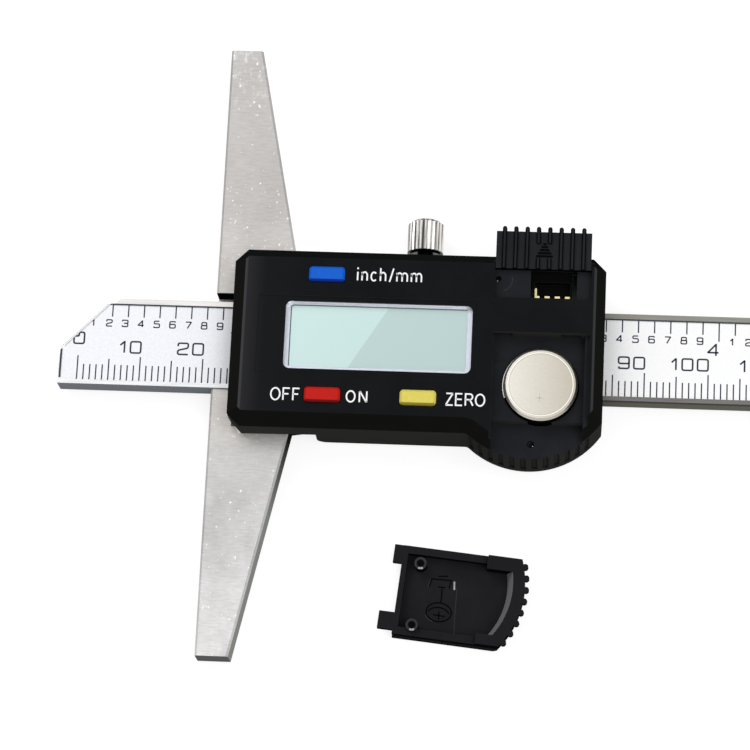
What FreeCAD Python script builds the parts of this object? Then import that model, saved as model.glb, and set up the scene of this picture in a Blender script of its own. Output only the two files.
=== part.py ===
"""Digital depth gauge, 150 mm range, 100 mm foot, lying on its back with the display up.

Frame: millimetres, +X along the beam away from its measuring tip, +Y across the beam along
the foot, +Z out of the display. X = 0 is the measuring face of the foot, Y = 0 the centre
line of the beam, Z = 0 the surface the gauge lies on.
"""
import FreeCAD
import Part
import math
import os

V = FreeCAD.Vector

# ---------------------------------------------------------------- foot and beam
FOOT_LENGTH = 100.0
FOOT_THICK = 5.0
FOOT_TIP_WIDTH = 5.2
FOOT_SHOULDER_Y = 13.2
FOOT_SHOULDER_X = 12.9
FOOT_BLOCK_X = 16.8
FOOT_BLOCK_Y = 12.6
FOOT_EDGE_CHAMFER = 0.35
WEB_THICK = 1.3
BACK_GAP = 0.1
SLIDE_GAP = 0.05

BEAM_WIDTH = 14.2
BEAM_THICK = 4.0
BEAM_REACH = 24.6
BEAM_LENGTH = 221.1
BEAM_FLAT_TOP_Y = -1.0
BEAM_BEVEL_RUN = 7.8
LABEL_WIDTH = 12.4
LABEL_INSET = 0.25
LABEL_END_INSET = 11.1
SCALE_PCB_THICK = 0.8
LABEL_THICK = 0.1
LABEL_SINK = 0.1
STOP_SCREW_INSET = 6.6
STOP_SCREW_Y = 3.6
STOP_HEAD_D = 3.6
STOP_HEAD_H = 1.2
STOP_SHANK_D = 2.0
STOP_SHANK_L = 3.0

BEAM_END_X = BEAM_LENGTH - BEAM_REACH
LABEL_END_X = BEAM_END_X - LABEL_END_INSET
STOP_SCREW_X = BEAM_END_X - STOP_SCREW_INSET
BEAM_BACK_Z = WEB_THICK + BACK_GAP
BEAM_FRONT_Z = BEAM_BACK_Z + BEAM_THICK
BEAM_MID_Z = (BEAM_BACK_Z + BEAM_FRONT_Z) / 2
LABEL_FRONT_Z = BEAM_FRONT_Z - LABEL_SINK
RECESS_Z = LABEL_FRONT_Z - LABEL_THICK - SCALE_PCB_THICK

# ---------------------------------------------------------------- slider frame and gib
GIB_THICK = 1.4
GIB_LENGTH = 43.0
GIB_X = 17.4
GIB_SLOT_Y = 8.69
CHANNEL_LOW_Y = -BEAM_WIDTH / 2 - SLIDE_GAP
GIB_Y = BEAM_WIDTH / 2 + SLIDE_GAP
SENSOR_GAP = 0.2
FRAME_TOP_Z = BEAM_FRONT_Z + SENSOR_GAP
WING_Z = 4.0
WING_X = 3.6
FRAME_END_X = 60.6
FRAME_LOW_Y = -13.1
FRAME_HIGH_Y = 13.3
FRAME_CORNER = 1.8

# ---------------------------------------------------------------- housing
HOUSING_X0 = 3.3
HOUSING_X1 = 62.0
HOUSING_Y0 = -14.35
HOUSING_Y1 = 14.55
HOUSING_CORNER = 2.0
HOUSING_BACK_Z = 1.0
BEVEL_Z = 10.0
FRONT_Z = 12.6
FACE_X0 = 5.2
FACE_X1 = 60.5
FACE_Y0 = -12.4
FACE_Y1 = 12.7
FACE_CORNER = 0.5
CORNER_LOW_RUN = 4.1
WALL = 1.15
FACE_WALL = 1.4
SKIRT_X = 17.1
SKIRT_ROUND = 1.7
RELIEF_RISE = 0.8
GRIP_X = 50.4
GRIP_Y = -4.05
GRIP_R = 14.0
GRIP_FACE_R = 12.0
GRIP_ROOT_R = 1.0
GRIP_FACE_ROOT_R = 4.0
GRIP_PITCH_DEG = 7.36
GRIP_GROOVES = 12
GRIP_FIRST_DEG = -129.0
GRIP_GROOVE_W = 0.9
GRIP_GROOVE_ROOT_W = 0.6
GRIP_GROOVE_DEPTH = 0.4
GRIP_FLANGE_Z = 2.5

# ---------------------------------------------------------------- display
LCD_X = 26.6
LCD_Y = 0.14
WINDOW_L = 29.4
WINDOW_W = 11.02
WINDOW_R = 1.0
WINDOW_SINK = 0.3
WINDOW_GAP = 0.05
BEZEL_SHOW_L = 0.8
BEZEL_SHOW_W = 0.7
BEZEL_LIP = 0.6
BEZEL_THICK = 0.2
LCD_THICK = 2.0
PANEL_X0 = 7.6
PANEL_X1 = 42.0
PANEL_Y0 = -6.2
PANEL_Y1 = 6.45
PANEL_SINK = 0.15
ZEBRA_W = 1.4
CEILING_Z = FRONT_Z - FACE_WALL
LCD_FRONT_Z = CEILING_Z - BEZEL_THICK
LCD_BACK_Z = LCD_FRONT_Z - LCD_THICK

# ---------------------------------------------------------------- circuit board
PCB_THICK = 0.8
PCB_X0 = 9.9
PCB_X1 = 43.0
PCB_NARROW_X = 15.0
PCB_NARROW_Y = 8.0
PCB_HALF_Y = 12.8
PCB_PORT_X = 58.8
PCB_PORT_Y = 2.95
PCB_Z = FRAME_TOP_Z
PCB_TOP_Z = PCB_Z + PCB_THICK
CHIP_D = 8.0
CHIP_H = 1.2
CHIP_EDGE = 0.6
CHIP_SIDES = 16

# ---------------------------------------------------------------- buttons
BUTTON_L = 5.7
BUTTON_W = 2.45
BUTTON_R = 0.6
BUTTON_GAP = 0.1
BUTTON_PROUD = 0.5
BUTTON_CROWN = 0.35
BUTTON_FLANGE = 0.7
BUTTON_FLANGE_T = 0.8
BUTTON_TRAVEL = 0.4
BUTTON_STEM_L = 2.4
BUTTON_STEM_W = 1.6
DOME_D = 5.0
DOME_H = 0.5
DOME_T = 0.12
DOME_PAD = 2.2
DOME_LEG_W = 1.2
UNIT_BUTTON = (18.15, 10.02)
POWER_BUTTON = (18.35, -9.58)
ZERO_BUTTON = (33.3, -9.58)

# ---------------------------------------------------------------- data port
PORT_X0 = 44.5
PORT_X1 = 59.7
PORT_Y = 7.15
PORT_Z = 11.6
PORT_GROOVE = 0.4
PORT_GROOVE_H = 0.4
PORT_GROOVE_END_Y = 13.5
PORT_WIN_X0 = 50.2
PORT_WIN_X1 = 57.45
PORT_WIN_Y0 = 7.5
PORT_WIN_Y1 = 12.2
PORT_FLOOR_T = 1.2
PORT_COVER_Y = 11.92
PORT_COVER_L = 6.1
PORT_COVER_GAP = 0.1
PORT_COVER_T = 1.0
PORT_RIBS = 8
PORT_RIB_PITCH = 1.78
PORT_RIB_W = 0.7
PORT_RIB_H = 0.45
PORT_RIB_OVER = 0.7
PORT_RIB_EDGE = 0.2
PORT_ARROW_RIBS = (3, 4)
PORT_ARROW_Y0 = 13.7
PORT_ARROW_Y1 = 16.1
CONNECTOR_X = 53.6
CONNECTOR_L = 6.2
CONNECTOR_Y0 = 8.0
CONNECTOR_Y1 = 12.4
CONNECTOR_H = 3.6
CONNECTOR_WALL = 0.3
CONNECTOR_MOUTH_Y = 10.5
CONNECTOR_MOUTH_DEPTH = 1.2
PINS = 4
PIN_PITCH = 1.6
PIN_W = 0.8
PIN_T = 0.2
PIN_PAD = 0.65
PIN_TONGUE = 1.9
PIN_TONGUE_W = 0.35

# ---------------------------------------------------------------- battery bay and cell
BAY_X0 = 44.5
BAY_X1 = 59.7
BAY_LEDGE_L = 0.3
BAY_LEDGE_R = 0.7
BAY_Y1 = 1.6
BAY_STEP_Y = -12.2
BAY_MID_Y = -2.75
BAY_TOP_FLOOR_Z = 10.0
BAY_FLOOR_Z = 10.3
BAY_LOW_FLOOR_Z = 8.6
BAY_WALL = 1.2
BAY_LUG_SLOTS = ((0.0, 2.8), (10.4, 13.6))
BAY_HOLE = (51.07, -15.47)
BAY_HOLE_D = 0.8
BAY_HOLE_DEPTH = 0.8
CELL_X = 52.27
CELL_Y = -6.48
CELL_D = 11.6
CELL_H = 5.4
CELL_GAP = 0.2
CELL_RIM = 0.35
CELL_CAP_D = 9.8
CELL_CAP_H = 0.5
WELL_WALL = 1.0
WELL_FLOOR = 0.4
CONTACT_T = 0.2
CONTACT_GAP = 0.05
CONTACT_ARC = (125.0, 200.0)
CELL_Z = FRAME_TOP_Z + WELL_FLOOR + CONTACT_T
CELL_TOP_Z = CELL_Z + CELL_H

# ---------------------------------------------------------------- screws
LOCK_X = 33.0
LOCK_HEAD_D = 5.8
LOCK_HEAD_Y = 16.4
LOCK_HEAD_L = 5.6
LOCK_SHANK_D = 2.6
LOCK_FIT = 0.05
LOCK_TEETH = 24
LOCK_TOOTH = 0.22
LOCK_CROWN = 0.5
LOCK_BASE_CROWN = 0.25
LOCK_PAD_Y = 9.2
LOCK_PAD_L = 1.0
LOCK_SKIRT_HOLE_D = 3.6
GIB_SCREW_X = (21.4, 52.4)
GIB_SCREW_D = 2.0
GIB_SCREW_L = 4.0
GIB_SCREW_HOLE_D = 2.4
HOUSING_SCREWS = ((23.9, 10.9), (45.15, 10.05), (25.8, -10.9), (41.9, -10.9))
HOUSING_SCREW_D = 1.8
HOUSING_SCREW_HEAD_D = 3.4
HOUSING_SCREW_HEAD_H = 1.2
HOUSING_SCREW_TIP_Z = 9.4
BOSS_W = 3.9
BOSS_GAP = 0.15
BOSS_BITE = 0.15
BASE_SCREWS = ((9.1, 11.1), (9.1, -10.6))
BASE_SCREW_D = 2.0
BASE_SCREW_HEAD_D = 3.4
BASE_SCREW_HEAD_H = 0.9
BASE_SCREW_TIP_Z = 1.2
SCREW_SLOT_W = 0.5
SCREW_SLOT_H = 0.45

# ---------------------------------------------------------------- battery cover, off, inside up
COVER_X = 31.01
COVER_Y = -37.92
COVER_TURN_DEG = -5.6
COVER_W = 14.65
COVER_T = 1.0
COVER_RIM_Z = 2.6
COVER_RIM_W = 1.2
COVER_END_W = 0.85
COVER_RIM_IN = 0.25
COVER_ARC_X = 4.88
COVER_ARC_Y = 1.8
COVER_ARC_R = 14.8
COVER_ARC_WALL = 1.85
COVER_SLOPE = 0.9
COVER_EDGE_IN = 0.5
COVER_ARC_Z = 3.7
COVER_KNOBS = 8
COVER_KNOB_DEG = 16.0
COVER_KNOB_PITCH_DEG = 7.0
COVER_KNOB_SIDES = 8
COVER_KNOB_R = 0.5
COVER_KNOB_OUT = 0.2
COVER_POST_D = 2.0
COVER_POST_Z = 3.4
COVER_POSTS = ((3.0, 4.38), (3.0, -5.44))
COVER_LUG_Z = 1.4
COVER_LUGS = ((-1.42, 4.2, 7.05), (-2.4, -6.45, -3.7))
COVER_ARC_WALL_L = 5.0
COVER_BLOCKS = ((13.4, 18.7, 4.9, 7.3), (13.1, 16.5, -7.3, -5.45))

QUARTER_DEG = 90.0


def box(x0, x1, y0, y1, z0, z1):
    return Part.makeBox(x1 - x0, y1 - y0, z1 - z0, V(x0, y0, z0))


def rod(x, y, z0, z1, diameter):
    return Part.makeCylinder(diameter / 2, z1 - z0, V(x, y, z0))


def rod_y(x, z, y0, y1, diameter):
    return Part.makeCylinder(diameter / 2, y1 - y0, V(x, y0, z), V(0, 1, 0))


def prism(points, z0, z1):
    corners = [V(x, y, z0) for x, y in points]
    wire = Part.makePolygon(corners + corners[:1])
    return Part.Face(wire).extrude(V(0, 0, z1 - z0))


def fuse(shapes):
    result = shapes[0]
    for shape in shapes[1:]:
        result = result.fuse(shape)
    return result.removeSplitter()


def cut(shape, tools):
    for tool in tools:
        shape = shape.cut(tool)
    return shape


def arc(centre, radius, start_deg, end_deg, z):
    def at(degrees):
        angle = math.radians(degrees)
        return V(centre[0] + radius * math.cos(angle), centre[1] + radius * math.sin(angle), z)
    return Part.Arc(at(start_deg), at((start_deg + end_deg) / 2), at(end_deg)).toShape()


def rounded_wire(cx, cy, length, width, radius, z):
    x0, x1 = cx - length / 2, cx + length / 2
    y0, y1 = cy - width / 2, cy + width / 2
    edges = []
    centres = ((x1 - radius, y0 + radius), (x1 - radius, y1 - radius),
               (x0 + radius, y1 - radius), (x0 + radius, y0 + radius))
    previous = None
    first = None
    for i, centre in enumerate(centres):
        turn = arc(centre, radius, (i - 1) * QUARTER_DEG, i * QUARTER_DEG, z)
        begin = turn.valueAt(turn.FirstParameter)
        end = turn.valueAt(turn.LastParameter)
        if previous is not None:
            edges.append(Part.makeLine(previous, begin))
        else:
            first = begin
        edges.append(turn)
        previous = end
    edges.append(Part.makeLine(previous, first))
    return Part.Wire(edges)


def rounded_block(cx, cy, length, width, radius, z0, z1):
    return Part.Face(rounded_wire(cx, cy, length, width, radius, z0)).extrude(V(0, 0, z1 - z0))


def slotted_screw(x, y, head_z, head_d, head_h, shank_d, tip_z):
    """Flat-head screw along Z. The head lies between head_z and the end away from the tip."""
    up = 1 if tip_z < head_z else -1
    head = rod(x, y, *sorted((head_z, head_z + up * head_h)), head_d)
    shank = rod(x, y, *sorted((head_z, tip_z)), shank_d)
    slot_low, slot_high = sorted((head_z + up * (head_h - SCREW_SLOT_H), head_z + up * (head_h + 1)))
    slot = box(x - head_d, x + head_d, y - SCREW_SLOT_W / 2, y + SCREW_SLOT_W / 2, slot_low, slot_high)
    return head.fuse(shank).removeSplitter().cut(slot)


# ================================================================ beam
def beam_outline(inset, end_x, half_width):
    """Bar outline with the bevelled tip; inset moves the end and the bevel inwards."""
    left = -BEAM_REACH + inset
    slope = (BEAM_WIDTH / 2 - BEAM_FLAT_TOP_Y) / BEAM_BEVEL_RUN
    shift = inset * math.hypot(1, slope)
    bevel_start = BEAM_FLAT_TOP_Y - shift + inset * slope
    bevel_end = -BEAM_REACH + (half_width - BEAM_FLAT_TOP_Y + shift) / slope
    return ((left, -half_width), (end_x, -half_width), (end_x, half_width),
            (bevel_end, half_width), (left, bevel_start))


def make_beam_bar():
    bar = prism(beam_outline(0, BEAM_END_X, BEAM_WIDTH / 2), BEAM_BACK_Z, BEAM_FRONT_Z)
    recess = prism(beam_outline(LABEL_INSET, LABEL_END_X, LABEL_WIDTH / 2), RECESS_Z, BEAM_FRONT_Z + 1)
    holes = [rod(STOP_SCREW_X, y, BEAM_FRONT_Z - STOP_SHANK_L, BEAM_FRONT_Z + 1, STOP_SHANK_D)
             for y in (-STOP_SCREW_Y, STOP_SCREW_Y)]
    return cut(bar, [recess] + holes)


def make_scale_pcb():
    return prism(beam_outline(LABEL_INSET, LABEL_END_X, LABEL_WIDTH / 2),
                 RECESS_Z, RECESS_Z + SCALE_PCB_THICK)


def make_scale_label():
    return prism(beam_outline(LABEL_INSET, LABEL_END_X, LABEL_WIDTH / 2),
                 LABEL_FRONT_Z - LABEL_THICK, LABEL_FRONT_Z)


def make_stop_screws():
    return Part.makeCompound([
        slotted_screw(STOP_SCREW_X, y, BEAM_FRONT_Z, STOP_HEAD_D, STOP_HEAD_H, STOP_SHANK_D,
                      BEAM_FRONT_Z - STOP_SHANK_L) for y in (-STOP_SCREW_Y, STOP_SCREW_Y)])


# ================================================================ foot, frame, gib
def make_foot():
    half = FOOT_LENGTH / 2
    outline = ((0, -half), (FOOT_TIP_WIDTH, -half), (FOOT_SHOULDER_X, -FOOT_SHOULDER_Y),
               (FOOT_BLOCK_X, -FOOT_BLOCK_Y), (FOOT_BLOCK_X, FOOT_BLOCK_Y),
               (FOOT_SHOULDER_X, FOOT_SHOULDER_Y), (FOOT_TIP_WIDTH, half), (0, half))
    foot = prism(outline, 0, FOOT_THICK)
    front_edges = [edge for edge in foot.Edges
                   if abs(edge.BoundBox.ZMin - FOOT_THICK) < 1e-6 and edge.Length > half / 2]
    foot = foot.makeChamfer(FOOT_EDGE_CHAMFER, front_edges)
    channel = box(-1, FOOT_BLOCK_X + 1, CHANNEL_LOW_Y, GIB_SLOT_Y, WEB_THICK, FOOT_THICK + 1)
    pocket = box(WING_X - SLIDE_GAP, FOOT_BLOCK_X + 1, FRAME_LOW_Y - BACK_GAP, FRAME_HIGH_Y + BACK_GAP,
                 WING_Z, FOOT_THICK + 1)
    holes = [rod(x, y, BASE_SCREW_TIP_Z, FOOT_THICK, BASE_SCREW_D) for x, y in BASE_SCREWS]
    return cut(foot, [channel, pocket] + holes)


def make_frame():
    """U channel behind the beam, with two thin wings let into the front of the foot."""
    body = prism(((FOOT_BLOCK_X, FRAME_LOW_Y), (FRAME_END_X - FRAME_CORNER, FRAME_LOW_Y),
                  (FRAME_END_X, FRAME_LOW_Y + FRAME_CORNER), (FRAME_END_X, FRAME_HIGH_Y - FRAME_CORNER),
                  (FRAME_END_X - FRAME_CORNER, FRAME_HIGH_Y), (FOOT_BLOCK_X, FRAME_HIGH_Y)),
                 0, FRAME_TOP_Z)
    wings = prism(((WING_X + FRAME_CORNER, FRAME_LOW_Y), (FOOT_BLOCK_X + 1, FRAME_LOW_Y),
                   (FOOT_BLOCK_X + 1, FRAME_HIGH_Y), (WING_X + FRAME_CORNER, FRAME_HIGH_Y),
                   (WING_X, FRAME_HIGH_Y - FRAME_CORNER), (WING_X, FRAME_LOW_Y + FRAME_CORNER)),
                  WING_Z, FOOT_THICK)
    channel = box(-1, FRAME_END_X + 1, CHANNEL_LOW_Y, GIB_SLOT_Y, WEB_THICK, FRAME_TOP_Z + 1)
    tools = [channel]
    tools.append(rod_y(LOCK_X, BEAM_MID_Z, 0, FRAME_HIGH_Y + 1, LOCK_SHANK_D + 2 * LOCK_FIT))
    for x in GIB_SCREW_X:
        tools.append(rod_y(x, BEAM_MID_Z, 0, FRAME_HIGH_Y + 1, GIB_SCREW_D))
    for x, y in HOUSING_SCREWS:
        tools.append(rod(x, y, -1, FRAME_TOP_Z + 1, HOUSING_SCREW_D))
        tools.append(rod(x, y, -1, HOUSING_SCREW_HEAD_H + BACK_GAP, HOUSING_SCREW_HEAD_D + BACK_GAP))
    for x, y in BASE_SCREWS:
        tools.append(rod(x, y, WING_Z - 1, FRAME_TOP_Z + 1, BASE_SCREW_D))
    return cut(body.fuse(wings).removeSplitter(), tools)


def make_gib():
    return box(GIB_X, GIB_X + GIB_LENGTH, GIB_Y, GIB_Y + GIB_THICK, WEB_THICK, BEAM_FRONT_Z)


def make_gib_screws():
    start = GIB_Y + GIB_THICK
    screws = []
    for x in GIB_SCREW_X:
        screw = rod_y(x, BEAM_MID_Z, start, start + GIB_SCREW_L, GIB_SCREW_D)
        slot = box(x - GIB_SCREW_D, x + GIB_SCREW_D, start + GIB_SCREW_L - SCREW_SLOT_H,
                   start + GIB_SCREW_L + 1, BEAM_MID_Z - SCREW_SLOT_W / 2,
                   BEAM_MID_Z + SCREW_SLOT_W / 2)
        screws.append(screw.cut(slot))
    return Part.makeCompound(screws)


def make_base_screws():
    return Part.makeCompound([
        slotted_screw(x, y, FOOT_THICK, BASE_SCREW_HEAD_D, BASE_SCREW_HEAD_H, BASE_SCREW_D,
                      BASE_SCREW_TIP_Z) for x, y in BASE_SCREWS])


def make_housing_screws():
    return Part.makeCompound([
        slotted_screw(x, y, HOUSING_SCREW_HEAD_H + BACK_GAP, HOUSING_SCREW_HEAD_D,
                      HOUSING_SCREW_HEAD_H, HOUSING_SCREW_D, HOUSING_SCREW_TIP_Z)
        for x, y in HOUSING_SCREWS])


# ================================================================ housing
def housing_wire(z, inset, face):
    """Closed outline of the housing at height z, on the wall (face 0) or on the front face
    (face 1), moved inwards by inset. The round thumb grip bulges out of the lower edge."""
    def blend(low, high):
        return low + (high - low) * face
    left = blend(HOUSING_X0, FACE_X0) + inset
    right = blend(HOUSING_X1, FACE_X1) - inset
    low = blend(HOUSING_Y0, FACE_Y0) + inset
    high = blend(HOUSING_Y1, FACE_Y1) - inset
    corner = blend(HOUSING_CORNER, FACE_CORNER) - inset * (2 - math.sqrt(2))
    radius = blend(GRIP_R, GRIP_FACE_R) - inset
    root = blend(GRIP_ROOT_R, GRIP_FACE_ROOT_R) + inset
    root_y = low - root
    root_x = GRIP_X - math.sqrt((radius + root) ** 2 - (root_y - GRIP_Y) ** 2)
    root_deg = math.degrees(math.atan2(GRIP_Y - root_y, GRIP_X - root_x))
    end_deg = -math.degrees(math.acos((right - GRIP_X) / radius))
    end_y = GRIP_Y - math.sqrt(radius ** 2 - (right - GRIP_X) ** 2)
    points = [V(right, end_y, z), V(right, high - corner, z), V(right - corner, high, z),
              V(left + corner, high, z), V(left, high - corner, z), V(left, low + corner, z)]
    edges = [Part.makeLine(V(left + corner, low, z), V(root_x, low, z)),
             arc((root_x, root_y), root, 90, root_deg, z),
             arc((GRIP_X, GRIP_Y), radius, root_deg - 180, end_deg, z)]
    points.append(V(left + corner, low, z))
    edges += [Part.makeLine(a, b) for a, b in zip(points, points[1:])]
    return Part.Wire(edges)


def housing_blank(inset, z0, z_bevel, z_face, face):
    wall_wire = housing_wire(z0, inset, 0)
    wall_part = Part.Face(wall_wire).extrude(V(0, 0, z_bevel - z0))
    bevel = Part.makeLoft([housing_wire(z_bevel, inset, 0), housing_wire(z_face, inset, face)],
                          True, True)
    return wall_part.fuse(bevel)


def foot_relief():
    """Left of the skirt the walls end on the foot's front and rise a little towards the skirt,
    whose end is rounded."""
    y0, y1 = HOUSING_Y0 - 1, HOUSING_Y1 + 1
    turn = Part.Arc(V(SKIRT_X, y0, HOUSING_BACK_Z + SKIRT_ROUND),
                    V(SKIRT_X + SKIRT_ROUND * (1 - math.sqrt(0.5)), y0,
                      HOUSING_BACK_Z + SKIRT_ROUND * (1 - math.sqrt(0.5))),
                    V(SKIRT_X + SKIRT_ROUND, y0, HOUSING_BACK_Z)).toShape()
    rise_z = FOOT_THICK + RELIEF_RISE
    edges = [Part.makeLine(V(SKIRT_X, y0, rise_z), V(SKIRT_X, y0, HOUSING_BACK_Z + SKIRT_ROUND)),
             turn,
             Part.makeLine(V(SKIRT_X + SKIRT_ROUND, y0, HOUSING_BACK_Z),
                           V(SKIRT_X + SKIRT_ROUND, y0, 0)),
             Part.makeLine(V(SKIRT_X + SKIRT_ROUND, y0, 0), V(0, y0, 0)),
             Part.makeLine(V(0, y0, 0), V(0, y0, FOOT_THICK)),
             Part.makeLine(V(0, y0, FOOT_THICK), V(SKIRT_X, y0, rise_z))]
    return Part.Face(Part.Wire(edges)).extrude(V(0, y1 - y0, 0))


def corner_wedge():
    """Widens the chamfer of the lower left corner towards the back."""
    rings = []
    for z, run_y in ((0, CORNER_LOW_RUN), (BEVEL_Z, HOUSING_CORNER)):
        rings.append([V(HOUSING_X0 - 1, HOUSING_Y0 - 1, z),
                      V(HOUSING_X0 + HOUSING_CORNER * (1 + 1 / run_y), HOUSING_Y0 - 1, z),
                      V(HOUSING_X0 - 1, HOUSING_Y0 + run_y * (1 + 1 / HOUSING_CORNER), z)])
    low, high = rings
    facets = [low, high]
    for i in range(len(low)):
        after = (i + 1) % len(low)
        facets += [[low[i], low[after], high[after]], [low[i], high[after], high[i]]]
    faces = [Part.Face(Part.makePolygon(facet + facet[:1])) for facet in facets]
    return Part.makeSolid(Part.makeShell(faces))


def grip_grooves():
    """Serrations of the thumb grip, each narrowing towards its root."""
    root, mouth = GRIP_R - GRIP_GROOVE_DEPTH, GRIP_R + GRIP_GROOVE_DEPTH
    root_half = GRIP_GROOVE_ROOT_W / 2
    mouth_half = GRIP_GROOVE_W - root_half
    tools = []
    for i in range(GRIP_GROOVES):
        angle = math.radians(GRIP_FIRST_DEG + i * GRIP_PITCH_DEG)
        along, across = (math.cos(angle), math.sin(angle)), (-math.sin(angle), math.cos(angle))
        corners = [(GRIP_X + reach * along[0] + side * across[0],
                    GRIP_Y + reach * along[1] + side * across[1])
                   for reach, side in ((root, -root_half), (mouth, -mouth_half),
                                       (mouth, mouth_half), (root, root_half))]
        tools.append(prism(corners, GRIP_FLANGE_Z, BAY_LOW_FLOOR_Z + 1))
    return tools


def bay_mass(blank):
    x0, x1 = BAY_X0 - BAY_WALL, HOUSING_X1
    y1 = BAY_Y1 + BAY_WALL
    floor_z = BAY_TOP_FLOOR_Z - BAY_WALL
    low_z = BAY_LOW_FLOOR_Z - BAY_WALL
    low_y = GRIP_Y - GRIP_R
    parts = [box(x0, x1, BAY_STEP_Y, y1, floor_z, FRONT_Z),
             box(x0, x1, low_y, BAY_STEP_Y + BAY_WALL, low_z, FRONT_Z),
             rod(CELL_X, CELL_Y, FRAME_TOP_Z, FRONT_Z, CELL_D + 2 * (CELL_GAP + WELL_WALL))]
    return [part.common(blank) for part in parts]


def bay_tools():
    inner0, inner1 = BAY_X0 + BAY_LEDGE_L, BAY_X1 - BAY_LEDGE_R
    low_y = GRIP_Y - GRIP_R - 1
    top = FRONT_Z + 1
    lug_z1 = FRONT_Z - COVER_T - PANEL_SINK
    lug_y = BAY_Y1 + BAY_WALL + 1
    slots = [box(inner0 + start, inner0 + end, BAY_Y1, lug_y, BAY_TOP_FLOOR_Z, lug_z1)
             for start, end in BAY_LUG_SLOTS]
    return slots + [
        box(inner0, inner1, BAY_MID_Y, BAY_Y1, BAY_TOP_FLOOR_Z, top),
        box(inner0, inner1, BAY_STEP_Y, BAY_MID_Y, BAY_FLOOR_Z, top),
        box(inner0, inner1, low_y, BAY_STEP_Y, BAY_LOW_FLOOR_Z, top),
        box(BAY_X0, BAY_X1, low_y, BAY_Y1, FRONT_Z - COVER_T, top),
        rod(CELL_X, CELL_Y, FRAME_TOP_Z + WELL_FLOOR, top, CELL_D + 2 * CELL_GAP),
        rod(BAY_HOLE[0], BAY_HOLE[1], BAY_LOW_FLOOR_Z - BAY_HOLE_DEPTH, top, BAY_HOLE_D)]


def port_mass(blank):
    slab = box(PORT_X0 - BAY_WALL, HOUSING_X1, PORT_Y - BAY_WALL, HOUSING_Y1,
               PORT_Z - PORT_FLOOR_T, FRONT_Z)
    return slab.common(blank)


def port_tools():
    top = FRONT_Z + 1
    groove_z1 = PORT_Z + PORT_GROOVE_H
    return [box(PORT_X0, PORT_X1, PORT_Y, HOUSING_Y1 + 1, PORT_Z, top),
            box(PORT_X0 - PORT_GROOVE, PORT_X1 + PORT_GROOVE, PORT_Y, PORT_GROOVE_END_Y,
                PORT_Z, groove_z1),
            box(PORT_WIN_X0, PORT_WIN_X1, PORT_WIN_Y0, PORT_WIN_Y1, PCB_TOP_Z, top)]


def lcd_room():
    """Keeps the housing's inside clear of the display module and its frame."""
    half_l = WINDOW_L / 2 + BEZEL_LIP + WINDOW_GAP
    half_w = WINDOW_W / 2 + BEZEL_LIP + WINDOW_GAP
    return box(LCD_X - half_l, LCD_X + half_l, LCD_Y - half_w, LCD_Y + half_w, LCD_BACK_Z, CEILING_Z)


def boss_block(x, y, gap, z0, z1):
    """Square boss for a housing screw, grown out of the nearer long wall."""
    half = BOSS_W / 2 + gap
    wall = HOUSING_Y1 - WALL + BOSS_BITE if y > 0 else HOUSING_Y0 + WALL - BOSS_BITE
    y0, y1 = sorted((wall, y - math.copysign(half, y)))
    return box(x - half, x + half, y0, y1, z0, z1)


def make_housing():
    blank = housing_blank(0, HOUSING_BACK_Z, BEVEL_Z, FRONT_Z, 1)
    ceiling_face = (CEILING_Z - BEVEL_Z) / (FRONT_Z - BEVEL_Z)
    cavity = housing_blank(WALL, HOUSING_BACK_Z - 1, BEVEL_Z - WALL / 2, CEILING_Z, ceiling_face)
    shell = blank.cut(cavity)
    bosses = [boss_block(x, y, 0, PCB_Z, CEILING_Z) for x, y in HOUSING_SCREWS]
    solid = fuse([shell] + bay_mass(blank) + [port_mass(blank)] + bosses)
    tools = [foot_relief(), corner_wedge(), lcd_room()]
    tools.append(box(0, HOUSING_X1 + 1, -BEAM_WIDTH / 2 - SENSOR_GAP, BEAM_WIDTH / 2 + SENSOR_GAP,
                     0, FRAME_TOP_Z))
    tools += [rod(x, y, PCB_Z - 1, HOUSING_SCREW_TIP_Z, HOUSING_SCREW_D) for x, y in HOUSING_SCREWS]
    tools.append(rounded_block(LCD_X, LCD_Y, WINDOW_L, WINDOW_W, WINDOW_R, CEILING_Z - 1, FRONT_Z + 1))
    tools.append(box(PANEL_X0, PANEL_X1, PANEL_Y0, PANEL_Y1, FRONT_Z - PANEL_SINK, FRONT_Z + 1))
    for x, y in (UNIT_BUTTON, POWER_BUTTON, ZERO_BUTTON):
        tools.append(rounded_block(x, y, BUTTON_L + 2 * BUTTON_GAP, BUTTON_W + 2 * BUTTON_GAP,
                                   BUTTON_R + BUTTON_GAP, CEILING_Z - 1, FRONT_Z + 1))
    tools.append(rod_y(LOCK_X, BEAM_MID_Z, HOUSING_Y1 - 2 * WALL, HOUSING_Y1 + 1, LOCK_SKIRT_HOLE_D))
    for x in GIB_SCREW_X:
        tools.append(rod_y(x, BEAM_MID_Z, HOUSING_Y1 - 2 * WALL, HOUSING_Y1 + 1, GIB_SCREW_HOLE_D))
    tools += bay_tools() + port_tools() + grip_grooves()
    return cut(solid, tools).removeSplitter()


# ================================================================ display and board
def make_window():
    return rounded_block(LCD_X, LCD_Y, WINDOW_L - 2 * WINDOW_GAP, WINDOW_W - 2 * WINDOW_GAP,
                         WINDOW_R - WINDOW_GAP, CEILING_Z, FRONT_Z - WINDOW_SINK)


def make_bezel():
    outer = rounded_block(LCD_X, LCD_Y, WINDOW_L + 2 * BEZEL_LIP, WINDOW_W + 2 * BEZEL_LIP,
                          WINDOW_R, LCD_FRONT_Z, CEILING_Z)
    view = rounded_block(LCD_X, LCD_Y, WINDOW_L - 2 * BEZEL_SHOW_L, WINDOW_W - 2 * BEZEL_SHOW_W,
                         WINDOW_R / 2, LCD_FRONT_Z - 1, CEILING_Z + 1)
    return outer.cut(view)


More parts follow.
